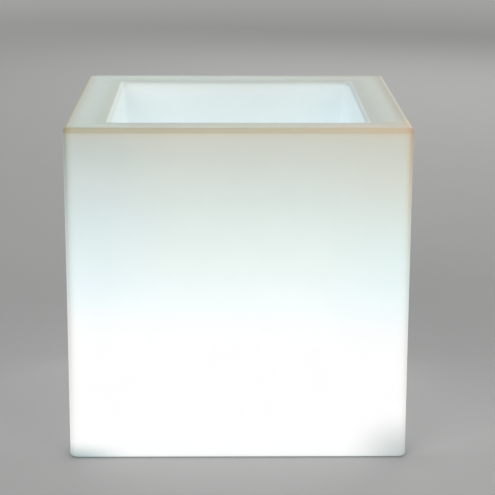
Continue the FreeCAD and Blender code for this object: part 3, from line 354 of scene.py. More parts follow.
# ---- Finishes ----------------------------------------------------------------------------------
@dataclass(frozen=True)
class GlowingShell:
    """Translucent white polyethylene, lit from the lamp in the base.

    Each *_LIGHT is what that surface sends out in all, by place in millimetres. The glow is what the plain lighting
    leaves of it, and each *_level is that lighting, as a share of the body's colour. Each pair of numbers is where
    a zone of the surface starts and where it is full, in millimetres.
    """

    body: Colour = (0.52, 0.53, 0.515)
    # Base colour in the tan band of the thick edges: painted shade, the lamp's light dimmed and warmed through thick
    # plastic
    thick_body: Colour = (0.46, 0.42, 0.33)
    wall_level: float = 0.75
    rim_level: float = 0.97
    rim_level_slope: float = 0.00024
    recess_level: float = 0.975
    recess_end_level: float = 0.895
    recess_left_level: float = 0.835
    recess_right_level: float = 0.895
    recess_floor_level: float = 0.85
    edge_level: float = 0.80
    lip_level: float = 0.03
    lip_right_level: float = 0.15
    # Strengths of painted shade: the tan on the front strip and the left rim, the darkening of the vertical edges
    front_strip_tan: float = 0.45
    left_rim_tan: float = 0.4
    left_strip_depth: float = 0.4
    low_strip_fade: float = 0.65
    cloud_depth: float = 0.045
    speck_depth: float = 0.02
    cube_half: float = 200.0
    mouth_shift: float = 0.3
    recess_right_drop: float = 6.0
    # Size of the painted shade round each corner foot
    foot_width: float = 75.0
    foot_left_height: float = 22.0
    foot_right_rise: float = 38.0

    WALL_LIGHT = (
        (0.0, (0.93, 0.97, 0.96)), (10.0, (0.985, 1.0, 1.0)), (28.0, (1.0, 1.0, 1.0)),
        (140.0, (1.0, 1.0, 1.0)), (153.0, (0.993, 1.0, 1.0)), (165.0, (0.978, 1.0, 1.0)),
        (178.0, (0.954, 1.0, 0.996)), (191.0, (0.925, 1.0, 0.99)), (216.0, (0.870, 0.955, 0.945)),
        (240.0, (0.831, 0.922, 0.888)), (265.0, (0.783, 0.871, 0.838)), (290.0, (0.737, 0.823, 0.791)),
        (314.0, (0.690, 0.765, 0.727)), (339.0, (0.660, 0.713, 0.665)), (363.0, (0.617, 0.658, 0.604)),
        (386.0, (0.600, 0.612, 0.545)), (391.0, (0.598, 0.585, 0.490)), (394.5, (0.560, 0.535, 0.425)))
    UNDER_LIGHT = (0.62, 0.66, 0.65)
    RECESS_LIGHT = (
        (190.0, (0.95, 1.0, 1.0)), (250.0, (0.90, 0.97, 0.98)), (300.0, (0.795, 0.885, 0.900)),
        (345.0, (0.750, 0.827, 0.832)), (365.0, (0.722, 0.795, 0.790)), (385.0, (0.732, 0.785, 0.775)),
        (391.0, (0.722, 0.765, 0.740)), (396.5, (0.665, 0.715, 0.680)))
    RIM_LIGHT = (
        (150.0, (0.520, 0.575, 0.515)), (162.0, (0.522, 0.578, 0.520)), (172.0, (0.555, 0.622, 0.578)),
        (186.0, (0.568, 0.632, 0.582)), (200.0, (0.568, 0.632, 0.582)))
    EDGE_LIGHT = (
        (-200.0, (0.440, 0.415, 0.300)), (-150.0, (0.460, 0.434, 0.323)), (0.0, (0.509, 0.474, 0.352)),
        (150.0, (0.570, 0.491, 0.356)), (200.0, (0.580, 0.470, 0.335)))
    THICK_RIM_LIGHT = (0.47, 0.445, 0.345)
    # Painted shade of the vertical edges, where less of the lamp's light comes through the thick corners
    LEFT_STRIP = (
        (188.0, (1.0, 1.0, 1.0)), (191.5, (0.965, 0.965, 0.955)), (194.5, (0.885, 0.88, 0.86)),
        (197.0, (0.785, 0.775, 0.75)), (200.0, (0.65, 0.64, 0.61)))
    RIGHT_STRIP_LOW = (
        (188.0, (1.0, 1.0, 1.0)), (192.0, (0.975, 0.975, 0.97)), (195.0, (0.94, 0.93, 0.91)),
        (197.5, (0.88, 0.86, 0.83)), (200.0, (0.76, 0.74, 0.71)))
    RIGHT_STRIP_HIGH = (
        (188.0, (1.0, 1.0, 1.0)), (191.5, (0.995, 0.98, 0.93)), (193.7, (1.0, 0.91, 0.87)),
        (195.2, (0.97, 0.855, 0.78)), (197.5, (0.925, 0.775, 0.665)), (200.0, (0.84, 0.68, 0.55)))
    WARM_RIM = (1.0, 0.965, 0.945)
    WARM_WALL_LOW, WARM_WALL_HIGH = (0.945, 0.972, 0.985), (1.0, 0.972, 0.950)
    COOL_WALL_LOW, COOL_WALL_HIGH = (0.950, 0.968, 1.010), (0.89, 0.93, 0.96)
    COOL_RECESS = (0.955, 0.975, 0.995)
    # Painted shade on the top's tips and round the corner feet
    LEFT_TIP, RIGHT_TIP = (0.80, 0.72, 0.58), (1.0, 0.84, 0.78)
    LEFT_FOOT, RIGHT_FOOT = (0.41, 0.505, 0.515), (0.53, 0.57, 0.56)

    LEFT_TO_RIGHT = (-20.0, 20.0)
    FLANK = (-4.0, 4.0)
    MOUTH = (152.4, 154.4)
    FAR_WALL_END = (20.0, 130.0)
    RECESS_RIGHT_END = (110.0, 150.0)
    RECESS_Z = (186.0, 189.0)
    RECESS_FLOOR_Z = (192.5, 204.0)
    LIP_Z = (391.0, 395.5)
    OUTER_RIM = (174.0, 182.0)
    INNER_RIM_Z, OUTER_RIM_Z = (384.0, 388.0), (396.0, 397.8)
    # Zones of the tan band, painted shade of the thick edges in the glow and in the base colour
    EDGE, EDGE_Z = (193.4, 196.4), (391.8, 395.0)
    THICK_RIM, THICK_RIM_X, THICK_RIM_Y = (180.0, 196.0), (-110.0, 150.0), (-170.0, -120.0)
    FRONT_STRIP_X, FRONT_STRIP_Y = (-150.0, -110.0), (-156.0, -150.0)
    # Zones of the painted shade on the vertical edges, the tips and round the feet
    LEFT_STRIP_Z, RIGHT_STRIP_Z, LOW_STRIP_Z = (240.0, 350.0), (200.0, 360.0), (20.0, 180.0)
    TIP, TIP_Z = (187.0, 199.0), (392.0, 396.0)
    FOOT = (-0.1, 1.08)        # as a share of the way out from a foot
    WARM_WALL_X, WARM_WALL_Z, WARM_TURN_Z = (60.0, 190.0), (110.0, 200.0), (240.0, 330.0)
    COOL_WALL_X, COOL_WALL_Z, COOL_TURN_Z = (-170.0, -60.0), (150.0, 230.0), (330.0, 385.0)
    WARM_RIM_X, COOL_RECESS_X = (40.0, 170.0), (60.0, 150.0)
    UNDER_Z, WELL, WELL_Z = (1.7, 2.2), (100.0, 110.0), (24.0, 30.0)

    def material(self, name: str) -> bpy.types.Material:
        """Makes the material.

        Args:
            name: its name.

        Returns:
            The material.
        """
        net = Net(bpy.data.materials.new(name))
        x, y, z = net.place()
        across = abs(x).larger(abs(y))
        hole = across - x.rise(*self.RECESS_RIGHT_END) * self.mouth_shift
        inside = across.fall(*self.OUTER_RIM) * z.rise(*self.INNER_RIM_Z)
        rim = (inside * hole.rise(*self.MOUTH) + across.rise(*self.OUTER_RIM) * z.rise(*self.OUTER_RIM_Z)).smaller(1.0)
        recess = hole.fall(*self.MOUTH) * z.rise(*self.RECESS_Z)
        # The tan band on the thick top edge, the outer rim and the front strip is painted shade, in the glow and in the
        # base colour
        edge = across.rise(*self.EDGE) * z.rise(*self.EDGE_Z)
        front_strip = y.fall(*self.FRONT_STRIP_Y) * x.rise(*self.FRONT_STRIP_X) * self.front_strip_tan
        rim_tan = x.rise(*self.THICK_RIM_X) * (1.0 - self.left_rim_tan) + self.left_rim_tan
        outer_strip = across.rise(*self.THICK_RIM) * rim_tan
        tan = edge.larger(rim * outer_strip.larger(front_strip))
        light = net.mix(rim, self._wall_light(net, x, z, across), self._rim_light(net, x, across))
        light = net.mix(recess, light, self._recess_light(net, x, z))
        thick = net.mix(rim * y.rise(*self.THICK_RIM_Y), self._follow(net, x, self.EDGE_LIGHT), self.THICK_RIM_LIGHT)
        light = net.mix(tan, light, thick)
        cloud = (net.noise(size=46.0, detail=4.0) - 0.5) * self.cloud_depth
        speck = (net.noise(size=9.0, detail=2.0) - 0.5) * self.speck_depth
        # Painted shade of the edges, tips and feet, times the plastic's own cloudy mottling, over the glow and the base
        # colour
        shade = net.times(self._shade(net, x, y, z), net.grey(cloud + speck + 1.0))
        light = net.times(light, shade)
        # The base colour carries the painted tan shade of the thick band and the painted shade from _shade
        body = net.times(net.mix(tan, self.body, self.thick_body), shade)
        day = net.times(body, net.grey(self._level(x, y, z, rim, recess, edge)))
        grain = net.noise(size=1.6, detail=2.0) * 0.6 + net.noise(size=7.0, detail=3.0) * 0.4
        return net.close({
            "Base Color": body,
            "Roughness": 0.40 + net.noise(size=12.0, detail=3.0) * 0.16,
            "Normal": net.bump(grain, strength=0.35, distance=0.12),
            "Emission Color": net.mix(1.0, light, day, "SUBTRACT"), "Emission Strength": 1.0})

    def _follow(self, net: Net, place: Reading, stops: Sequence[tuple[float, Colour]]) -> Reading:
        """A colour that follows a place in millimetres.

        Args:
            net: the material's tree.
            place: the place.
            stops: place and colour of each stop.

        Returns:
            The colour.
        """
        first, last = stops[0][0], stops[-1][0]
        return net.ramp((place - first) / (last - first), [((at - first) / (last - first), c) for at, c in stops])

    def _level(self, x: Reading, y: Reading, z: Reading, rim: Reading, recess: Reading, edge: Reading) -> Reading:
        """How much of the body's colour the plain lighting gives back.

        Args:
            x: place along X.
            y: place along Y.
            z: height.
            rim: 1 on the rim.
            recess: 1 in the recess.
            edge: 1 on the thick top edge.

        Returns:
            The share of the body's colour.
        """
        flank = (abs(x) - abs(y)).rise(*self.FLANK)
        right = x.rise(*self.LEFT_TO_RIGHT)
        side = right * (self.recess_right_level - self.recess_left_level) + self.recess_left_level
        far = self.recess_level - abs(x).rise(*self.FAR_WALL_END) * (self.recess_level - self.recess_end_level)
        hollow = side * flank + far * (1.0 - flank)
        upright = z.rise(*self.RECESS_FLOOR_Z)
        hollow = hollow * upright + self.recess_floor_level * (1.0 - upright)
        lip = z.rise(*self.LIP_Z) * (x.rise(*self.RECESS_RIGHT_END) * self.lip_right_level + self.lip_level)
        top = x * self.rim_level_slope + self.rim_level
        level = self.wall_level * (1.0 - rim) + top * rim
        level = level * (1.0 - recess) + (hollow + lip) * recess
        return level * (1.0 - edge) + self.edge_level * edge

    def _shade(self, net: Net, x: Reading, y: Reading, z: Reading) -> Reading:
        """How much painted shade darkens and tints the vertical edges, the top's tips and the corners over the feet.

        Args:
            net: the material's tree.
            x: place along X.
            y: place along Y.
            z: height.

        Returns:
            The tint, white where nothing is darkened.
        """
        aside = abs(x).smaller(abs(y))
        right = x.rise(*self.LEFT_TO_RIGHT)
        right_strip = net.mix(z.rise(*self.RIGHT_STRIP_Z), self._follow(net, aside, self.RIGHT_STRIP_LOW),
                              self._follow(net, aside, self.RIGHT_STRIP_HIGH))
        left_strip = self._follow(net, aside, self.LEFT_STRIP)
        deeper = z.rise(*self.LEFT_STRIP_Z) * self.left_strip_depth
        left_strip = net.mix(deeper, left_strip, left_strip, "MULTIPLY")
        shade = net.mix(right, left_strip, right_strip)
        shade = net.mix(z.fall(*self.LOW_STRIP_Z) * self.low_strip_fade, shade, WHITE)
        high = z.rise(*self.TIP_Z)
        shade = net.mix(high, shade, WHITE)
        shade = net.mix(aside.rise(*self.TIP) * high, shade, net.mix(right, self.LEFT_TIP, self.RIGHT_TIP))
        # Painted shade round each corner foot, reaching higher on the right
        height = right * self.foot_right_rise + self.foot_left_height
        from_foot = (((self.cube_half - aside) / self.foot_width) ** 2 + (z / height) ** 2) ** 0.5
        foot = net.mix(from_foot.rise(*self.FOOT), net.mix(right, self.LEFT_FOOT, self.RIGHT_FOOT), WHITE)
        return net.times(shade, foot)

    def _wall_light(self, net: Net, x: Reading, z: Reading, across: Reading) -> Reading:
        """What the outer walls send out, brightest low down, warmer on the right and cooler on the left.

        Args:
            net: the material's tree.
            x: place along X.
            z: height.
            across: the larger of the distances from the middle along X and Y.

        Returns:
            The light's colour.
        """
        light = self._follow(net, z, self.WALL_LIGHT)
        warm = net.mix(z.rise(*self.WARM_TURN_Z), self.WARM_WALL_LOW, self.WARM_WALL_HIGH)
        cool = net.mix(z.rise(*self.COOL_TURN_Z), self.COOL_WALL_LOW, self.COOL_WALL_HIGH)
        light = net.mix(x.rise(*self.WARM_WALL_X) * z.rise(*self.WARM_WALL_Z), light, net.times(light, warm))
        light = net.mix(x.fall(*self.COOL_WALL_X) * z.rise(*self.COOL_WALL_Z), light, net.times(light, cool))
        under = z.fall(*self.UNDER_Z).larger(across.fall(*self.WELL) * z.fall(*self.WELL_Z))
        return net.mix(under, light, self.UNDER_LIGHT)

    def _rim_light(self, net: Net, x: Reading, across: Reading) -> Reading:
        """What the rim sends out, warmer on the right.

        Args:
            net: the material's tree.
            x: place along X.
            across: the larger of the distances from the middle along X and Y.

        Returns:
            The light's colour.
        """
        light = self._follow(net, across, self.RIM_LIGHT)
        return net.mix(x.rise(*self.WARM_RIM_X), light, net.times(light, self.WARM_RIM))

    def _recess_light(self, net: Net, x: Reading, z: Reading) -> Reading:
        """What the recess walls and floor send out, brighter towards the lamp.

        Args:
            net: the material's tree.
            x: place along X.
            z: height.

        Returns:
            The light's colour.
        """
        light = self._follow(net, z - x.rise(*self.RECESS_RIGHT_END) * self.recess_right_drop, self.RECESS_LIGHT)
        return net.mix(x.rise(*self.COOL_RECESS_X), light, net.times(light, self.COOL_RECESS))


class Pattern(Enum):
    """How a finish varies over its piece."""

    SPARK = "fine spark-eroded mould texture"
    SKIN = "rubber with a dusty skin"
    BRUSHED = "metal with fine lines along X"
    TURNED = "metal with fine rings"
    MASK = "solder mask over copper tracks"
    SLEEVE = "smooth sleeve with faint waves"
    FROST = "frosted plastic"


@dataclass(frozen=True)
class Finish:
    """One finish of the lamp's pieces."""

    colour: Colour
    accent: Colour
    pattern: Pattern
    roughness: tuple[float, float]
    metal: float = 0.0
    grain: float = 0.8
    relief: float = 0.05
    glow: Colour = (0.0, 0.0, 0.0)

    def material(self, name: str) -> bpy.types.Material:
        """Makes the material.

        Args:
            name: its name.

        Returns:
            The material.
        """
        net = Net(bpy.data.materials.new(name))
        pattern = self._pattern(net)
        low, high = self.roughness
        surface = {
            "Base Color": net.mix(pattern, self.colour, self.accent),
            "Roughness": low + net.noise(self.grain * 5.0, 3.0) * (high - low),
            "Metallic": self.metal,
            "Normal": net.bump(pattern, 0.5, self.relief)}
        if any(self.glow):
            surface["Emission Color"] = net.mix(net.noise(6.0, 2.0) * 0.4, self.glow, (0.0, 0.0, 0.0))
            surface["Emission Strength"] = 1.0
        return net.close(surface)

    def _pattern(self, net: Net) -> Reading:
        """Draws the pattern.

        Args:
            net: the material's tree.

        Returns:
            Its value, from 0 to 1.
        """
        if self.pattern is Pattern.BRUSHED:
            return net.noise(self.grain, 2.0, (0.06, 1.0, 1.0)).rise(0.3, 0.7)
        if self.pattern is Pattern.TURNED:
            return net.noise(self.grain, 2.0, (0.3, 0.3, 2.5)).rise(0.3, 0.7)
        if self.pattern is Pattern.MASK:
            tracks = net.add("ShaderNodeTexBrick", {"offset": 0.37},
                             {"Vector": net.point(), "Scale": 0.45 / (self.grain * MM), "Mortar Size": 0.012})
            return net.read(tracks, "Fac") * 0.7 + net.noise(self.grain * 3.0, 3.0) * 0.3
        if self.pattern is Pattern.SKIN:
            return net.noise(self.grain, 5.0).rise(0.42, 0.8)
        if self.pattern is Pattern.SLEEVE:
            return net.noise(self.grain * 6.0, 2.0).rise(0.35, 0.65)
        if self.pattern is Pattern.FROST:
            return net.noise(self.grain * 0.5, 4.0)
        return net.noise(self.grain, 3.0).rise(0.3, 0.7)


@dataclass(frozen=True)
class LedPackage:
    """White package with a yellow phosphor window sunk into its top."""

    body: Colour = (0.86, 0.86, 0.83)
    window: Colour = (0.88, 0.70, 0.16)
    window_floor: float = 59.75
    package_top: float = 60.1
    window_blend: float = 0.1

    def material(self, name: str) -> bpy.types.Material:
        """Makes the material.

        Args:
            name: its name.

        Returns:
            The material.
        """
        net = Net(bpy.data.materials.new(name))
        _, _, z = net.place()
        facing = net.add("ShaderNodeSeparateXYZ", {}, {0: net.read(net.add("ShaderNodeNewGeometry", {}, {}), "Normal")})
        middle = (self.window_floor + self.package_top) / 2
        sunk = net.read(facing, 2).rise(0.5, 0.9) * z.fall(middle - self.window_blend, middle)
        colour = net.mix(sunk, self.body, self.window)
        return net.close({"Base Color": net.mix(net.noise(0.5, 3.0) * 0.15, colour, (0.6, 0.6, 0.58)),
                          "Roughness": 0.35 + net.noise(0.4, 2.0) * 0.2,
                          "Normal": net.bump(net.noise(0.3, 2.0), 0.3, 0.02)})


FINISHES: Mapping[str, Union[Finish, LedPackage]] = {
    "foot_rubber": Finish((0.030, 0.030, 0.032), (0.075, 0.074, 0.072), Pattern.SKIN, (0.62, 0.88), grain=1.2),
    "insert_brass": Finish((0.70, 0.50, 0.22), (0.52, 0.35, 0.14), Pattern.TURNED, (0.22, 0.42), 1.0, grain=0.3),
    "lamp_plastic": Finish((0.78, 0.79, 0.78), (0.68, 0.69, 0.68), Pattern.SPARK, (0.42, 0.60), grain=0.9),
    "seal_silicone": Finish((0.30, 0.31, 0.32), (0.22, 0.23, 0.24), Pattern.SKIN, (0.45, 0.70), grain=1.0),
    "screw_steel": Finish((0.62, 0.62, 0.63), (0.45, 0.45, 0.46), Pattern.TURNED, (0.18, 0.38), 1.0, grain=0.35),
    "spring_steel": Finish((0.50, 0.50, 0.52), (0.34, 0.34, 0.36), Pattern.BRUSHED, (0.20, 0.35), 1.0, grain=0.3),
    "lens_plastic": Finish((0.80, 0.82, 0.82), (0.70, 0.73, 0.73), Pattern.FROST, (0.40, 0.62), grain=1.0,
                           glow=(0.5, 0.54, 0.54)),
    "board_aluminium": Finish((0.80, 0.81, 0.80), (0.68, 0.69, 0.69), Pattern.MASK, (0.30, 0.45), grain=2.2),
    "led_package": LedPackage(),
    "reflector_white": Finish((0.86, 0.87, 0.86), (0.78, 0.79, 0.79), Pattern.SLEEVE, (0.18, 0.34), grain=1.0),
    "black_plastic": Finish((0.030, 0.030, 0.033), (0.055, 0.055, 0.058), Pattern.SPARK, (0.40, 0.62), grain=0.8),
    "cell_wrap": Finish((0.05, 0.16, 0.42), (0.035, 0.11, 0.30), Pattern.SLEEVE, (0.16, 0.34), grain=1.4),
    "nickel": Finish((0.66, 0.64, 0.58), (0.50, 0.48, 0.44), Pattern.BRUSHED, (0.22, 0.40), 1.0, grain=0.5),
    "board_laminate": Finish((0.012, 0.13, 0.045), (0.030, 0.22, 0.085), Pattern.MASK, (0.22, 0.38), grain=1.6),
    "component_black": Finish((0.022, 0.022, 0.024), (0.045, 0.045, 0.048), Pattern.SPARK, (0.38, 0.58), grain=0.5),
    "header_white": Finish((0.76, 0.74, 0.66), (0.66, 0.64, 0.56), Pattern.SPARK, (0.35, 0.52), grain=0.6),
    "button_silicone": Finish((0.085, 0.095, 0.110), (0.125, 0.135, 0.150), Pattern.SKIN, (0.48, 0.72), grain=0.8),
    "pipe_plastic": Finish((0.70, 0.80, 0.74), (0.58, 0.70, 0.63), Pattern.FROST, (0.12, 0.28), grain=0.6,
                           glow=(0.03, 0.10, 0.04)),
    "cover_rubber": Finish((0.028, 0.029, 0.031), (0.065, 0.065, 0.068), Pattern.SKIN, (0.55, 0.80), grain=0.9),
    "wire_red": Finish((0.40, 0.02, 0.015), (0.28, 0.012, 0.010), Pattern.SLEEVE, (0.22, 0.40), grain=0.8),
    "wire_white": Finish((0.72, 0.72, 0.69), (0.60, 0.60, 0.57), Pattern.SLEEVE, (0.22, 0.40), grain=0.8),
}


# ---- Meshes ------------------------------------------------------------------------------------
def skin(name: str, rings: Sequence[Sequence[Vector]], material: bpy.types.Material, cap_first: bool,
         cap_last: bool) -> bpy.types.Object:
    """Makes one skin through closed rings of equal counts.

    Args:
        name: the piece's name.
        rings: the rings in order, in millimetres.
        material: the material of the whole skin.
        cap_first: whether the first ring is closed by a face.
        cap_last: whether the last ring is closed by a face.

    Returns:
        The new object, in metres.
    """
    mesh = bmesh.new()
    rows = [[mesh.verts.new(point * MM) for point in ring] for ring in rings]
    count = len(rows[0])
    for low, high in zip(rows, rows[1:]):
        for i in range(count):
            mesh.faces.new((low[i], low[(i + 1) % count], high[(i + 1) % count], high[i]))
    if cap_first:
        mesh.faces.new(rows[0])
    if cap_last:
        mesh.faces.new(rows[-1])
    bmesh.ops.recalc_face_normals(mesh, faces=mesh.faces)
    for face in mesh.faces:
        face.smooth = True
    data = bpy.data.meshes.new(name)
    mesh.to_mesh(data)
    mesh.free()
    data.materials.append(material)
    piece = bpy.data.objects.new(name, data)
    bpy.context.scene.collection.objects.link(piece)
    return piece


def arc(start: float, end: float, steps: int) -> Iterable[float]:
    """Evenly spaced angles in radians, with both ends."""
    return (math.radians(start + (end - start) * i / steps) for i in range(steps + 1))


@dataclass
class CubeShell:
    """The rotomoulded cube: recess, rim, outer walls, base and well as one skin, with four corner pads."""

    width: float = 400.0
    height: float = 399.0
    base_z: float = 1.5
    pad_z: float = 0.5
    corner_radius: float = 8.0
    top_edge: float = 4.5
    base_edge: float = 5.0
    rim_dip: float = 2.0
    rim_land: float = 9.0
    opening: float = 300.0
    opening_corner: float = 10.0
    opening_edge: float = 5.0
    recess_depth: float = 205.0
    recess_draft: float = 1.75
    floor_round: float = 8.0
    floor_turn: float = 88.0   # degrees, where the floor's round meets the recess's wall
    well_radius: float = 84.0
    well_depth: float = 15.5
    well_draft: float = 14.0
    flange_seat: float = 72.0
    lamp_hole: float = 60.0
    wall: float = 4.0
    waist: float = 0.35        # the side walls lie in by this much half way up
    sink: float = 0.4          # and the middle of each side by this much more
    middle_z: float = 200.0
    lip_out: float = 0.14      # the mouth's round starts this far inside the recess's wall
    lip_up: float = 0.24
    lip_turn: float = 92.8     # degrees, to meet the dipped rim
    base_turn: float = 53.13   # degrees, where the base edge meets the base
    base_corner: float = 6.0
    pad_side: float = 62.0
    socket_radius: float = 15.3
    foot_inset: float = 37.0
    side_steps: int = 28
    corner_steps: int = 8
    recess_steps: int = 16
    rim_steps: int = 5
    wall_steps: int = 30
    pad_steps: int = 64
    FLOOR_HALVES = (4.0, 45.0, 90.0, 120.0, 132.0)
    BASE_HALVES, BASE_RADII = (197.0, 180.0, 150.0), (118.0, 96.0)
    WELL_MOUTH = ((2.0, 0.0), (0.5, 0.4), (-0.3, 1.6))    # out from the mouth's edge, up from the base
    WELL_TOP = ((0.5, -2.0), (-0.6, 0.0))    # out from the well's radius, up from its ceiling
    PAD_EDGE = ((2.0, 0.0), (3.0, 0.3), (5.0, 0.3))    # in from the cube's side, lean of the inner sides

    def outline(self, half: float, corner: float, z: float, sink: float = 0.0) -> list[Vector]:
        """One level ring, a square with round corners.

        Args:
            half: half of its width.
            corner: radius of its corners.
            z: its height.
            sink: how far the middle of each side lies in.

        Returns:
            Its points, anticlockwise from the side that faces +X.
        """
        flat = half - corner
        points = []
        for quarter in range(4):
            turn = Matrix.Rotation(math.radians(90 * quarter), 3, "Z")
            for i in range(self.side_steps):
                along = -1.0 + 2.0 * i / self.side_steps
                inward = sink * (1.0 - along * along) ** 2
                points.append(turn @ Vector((half - inward, along * flat, z)))
            for i in range(self.corner_steps):
                angle = math.radians(90.0 * i / self.corner_steps)
                points.append(turn @ Vector((flat + corner * math.cos(angle), flat + corner * math.sin(angle), z)))
        return points

    def circle(self, radius: float, z: float) -> list[Vector]:
        """One level ring, a circle whose points face those of the square rings.

        Args:
            radius: its radius.
            z: its height.

        Returns:
            Its points, in the order of outline().
        """
        guide = self.outline(self.width / 2, self.corner_radius, z)
        return [Vector((p.x, p.y, 0.0)).normalized() * radius + Vector((0.0, 0.0, z)) for p in guide]

    def recess_rings(self) -> list[list[Vector]]:
        """Recess floor and walls.

        Returns:
            Rings from the middle of the floor up to the rim's inner edge.
        """
        rim_z = self.height - self.rim_dip
        floor_z = rim_z - self.recess_depth
        slope = math.tan(math.radians(self.recess_draft))
        floor_half = self.opening / 2 - self.recess_depth * slope
        flat_corner = self.opening_corner - self.floor_round
        rings = [self.outline(half, flat_corner, floor_z) for half in self.FLOOR_HALVES]
        centre = floor_half - self.floor_round
        for angle in arc(0.0, self.floor_turn, 7):
            out = self.floor_round * math.sin(angle)
            rings.append(self.outline(centre + out, flat_corner + out,
                                      floor_z + self.floor_round * (1.0 - math.cos(angle))))
        low_z = floor_z + self.floor_round
        centre_half = self.opening / 2 + self.opening_edge - self.lip_out
        centre_z = rim_z - self.opening_edge + self.lip_up
        for i in range(1, self.recess_steps):
            share = i / self.recess_steps
            z = low_z + (centre_z - low_z) * share
            sag = -self.sink * math.sin(math.pi * share)
            rings.append(self.outline(floor_half + (z - floor_z) * slope, self.opening_corner, z, sag))
        for angle in arc(0.0, self.lip_turn, 8):
            out = self.opening_edge * (1.0 - math.cos(angle))
            rings.append(self.outline(centre_half - self.opening_edge + out, self.opening_corner + out,
                                      centre_z + self.opening_edge * math.sin(angle)))
        return rings

    def wall_rings(self) -> list[list[Vector]]:
        """Rim, outer walls and base edge.

        Returns:
            Rings from the rim's inner edge out and down to the base.
        """
        half = self.width / 2
        land = half - self.rim_land
        inner = self.opening / 2 + self.opening_edge
        rim_z = self.height - self.rim_dip
        rings = []
        for i in range(1, self.rim_steps + 1):
            share = i / self.rim_steps
            here = inner + (land - inner) * share
            rings.append(self.outline(here, self.opening_corner + (1.0 - share) * 4.0,
                                      rim_z + self.rim_dip * (here - self.opening / 2) / (land - self.opening / 2)))
        for angle in arc(0.0, 90.0, 8):
            out = self.top_edge * math.sin(angle)
            rings.append(self.outline(half - self.top_edge + out, self.corner_radius - self.top_edge + out,
                                      self.height - self.top_edge * (1.0 - math.cos(angle))))
        top, low = self.height - self.top_edge, self.pad_z + self.base_edge
        for i in range(1, self.wall_steps):
            z = top + (low - top) * i / self.wall_steps
            belly = 1.0 - ((z - self.middle_z) / (top - self.middle_z)) ** 2
            rings.append(self.outline(half - self.waist * belly, self.corner_radius, z, self.sink * belly))
        for angle in arc(0.0, self.base_turn, 5):
            rings.append(self.outline(half - self.base_edge * (1.0 - math.cos(angle)), self.corner_radius,
                                      low - self.base_edge * math.sin(angle)))
        return rings

    def base_rings(self) -> list[list[Vector]]:
        """Base and well.

        Returns:
            Rings over the base, up the well's wall and in to the lamp's hole.
        """
        ceiling = self.base_z + self.well_depth
        mouth = self.well_radius + self.well_depth * math.tan(math.radians(self.well_draft))
        rings = [self.outline(half, self.base_corner, self.base_z) for half in self.BASE_HALVES]
        rings += [self.circle(radius, self.base_z) for radius in self.BASE_RADII]
        rings += [self.circle(mouth + out, self.base_z + up) for out, up in self.WELL_MOUTH]
        rings += [self.circle(self.well_radius + out, ceiling + up) for out, up in self.WELL_TOP]
        rings += [self.circle(radius, ceiling) for radius in (self.flange_seat, self.lamp_hole)]
        rings.append(self.circle(self.lamp_hole, ceiling + self.wall))
        return rings

    def pad_rings(self, side_x: int, side_y: int) -> list[list[Vector]]:
        """Rings round one corner pad, from its outline in to the foot's socket.

        Args:
            side_x: 1 for the pad on +X, -1 for the one on -X.
            side_y: the same for Y.

        Returns:
            The rings of the pad.
        """
        middle = self.width / 2 - self.foot_inset
        inner = self.width / 2 - self.pad_side
        turns = [2 * math.pi * i / self.pad_steps for i in range(self.pad_steps)]
        heights = (self.base_z, (self.base_z + self.pad_z) / 2, self.pad_z)
        rings = []
        for (inset, lean), z in zip(self.PAD_EDGE, heights):
            half = self.width / 2 - inset
            ring = []
            for angle in turns:
                reach = Vector((math.cos(angle), math.sin(angle)))
                reach /= max(abs(reach.x), abs(reach.y))
                x = middle + reach.x * ((half - middle) if reach.x > 0 else (middle - inner - lean))
                y = middle + reach.y * ((half - middle) if reach.y > 0 else (middle - inner - lean))
                corner = Vector((half - self.base_corner, half - self.base_corner))
                over = Vector((x, y)) - corner
                if over.x > 0 and over.y > 0 and over.length > self.base_corner:
                    x, y = corner + over.normalized() * self.base_corner
                ring.append(Vector((side_x * x, side_y * y, z)))
            rings.append(ring)
        for z in (self.pad_z, self.base_z + 0.2):
            rings.append([Vector((side_x * (middle + self.socket_radius * math.cos(angle)),
                                  side_y * (middle + self.socket_radius * math.sin(angle)), z)) for angle in turns])
        return rings

    def build(self) -> list[bpy.types.Object]:
        """Makes the shell and its pads.

        Returns:
            The pieces, riding on the cube.
        """
        material = GlowingShell().material("shell_glow")
        shell = skin("shell_skin", self.recess_rings() + self.wall_rings() + self.base_rings(), material, True, False)
        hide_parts("cube_shell")
        pieces = [shell]
        for side_x in (-1, 1):
            for side_y in (-1, 1):
                name = "corner_pad_" + ("left" if side_x < 0 else "right") + ("_front" if side_y < 0 else "_rear")
                pieces.append(skin(name, self.pad_rings(side_x, side_y), material, False, True))
        for piece in pieces:
            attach(piece, "cube")
            log.info("%s: %d faces", piece.name, len(piece.data.polygons))
        return pieces


@dataclass
class Lamp:
    """The lamp's own pieces, which keep their shapes and get their finishes."""

    finishes: Mapping[str, Union[Finish, LedPackage]]

    def dress(self) -> int:
        """Gives every node of the lamp the finish of its slot.

        Returns:
            How many finishes were made.
        """
        slots = {part["node"]: part["material_slot"] for part in frame["record"]["subparts"]}
        made: dict[str, bpy.types.Material] = {}
        for node, piece in frame["nodes"].items():
            slot = slots[node]
            if slot not in self.finishes:
                continue
            if slot not in made:
                made[slot] = self.finishes[slot].material(slot)
            for i in range(len(piece.material_slots)):
                piece.material_slots[i].material = made[slot]
            log.info("%s: %s", node, slot)
        return len(made)


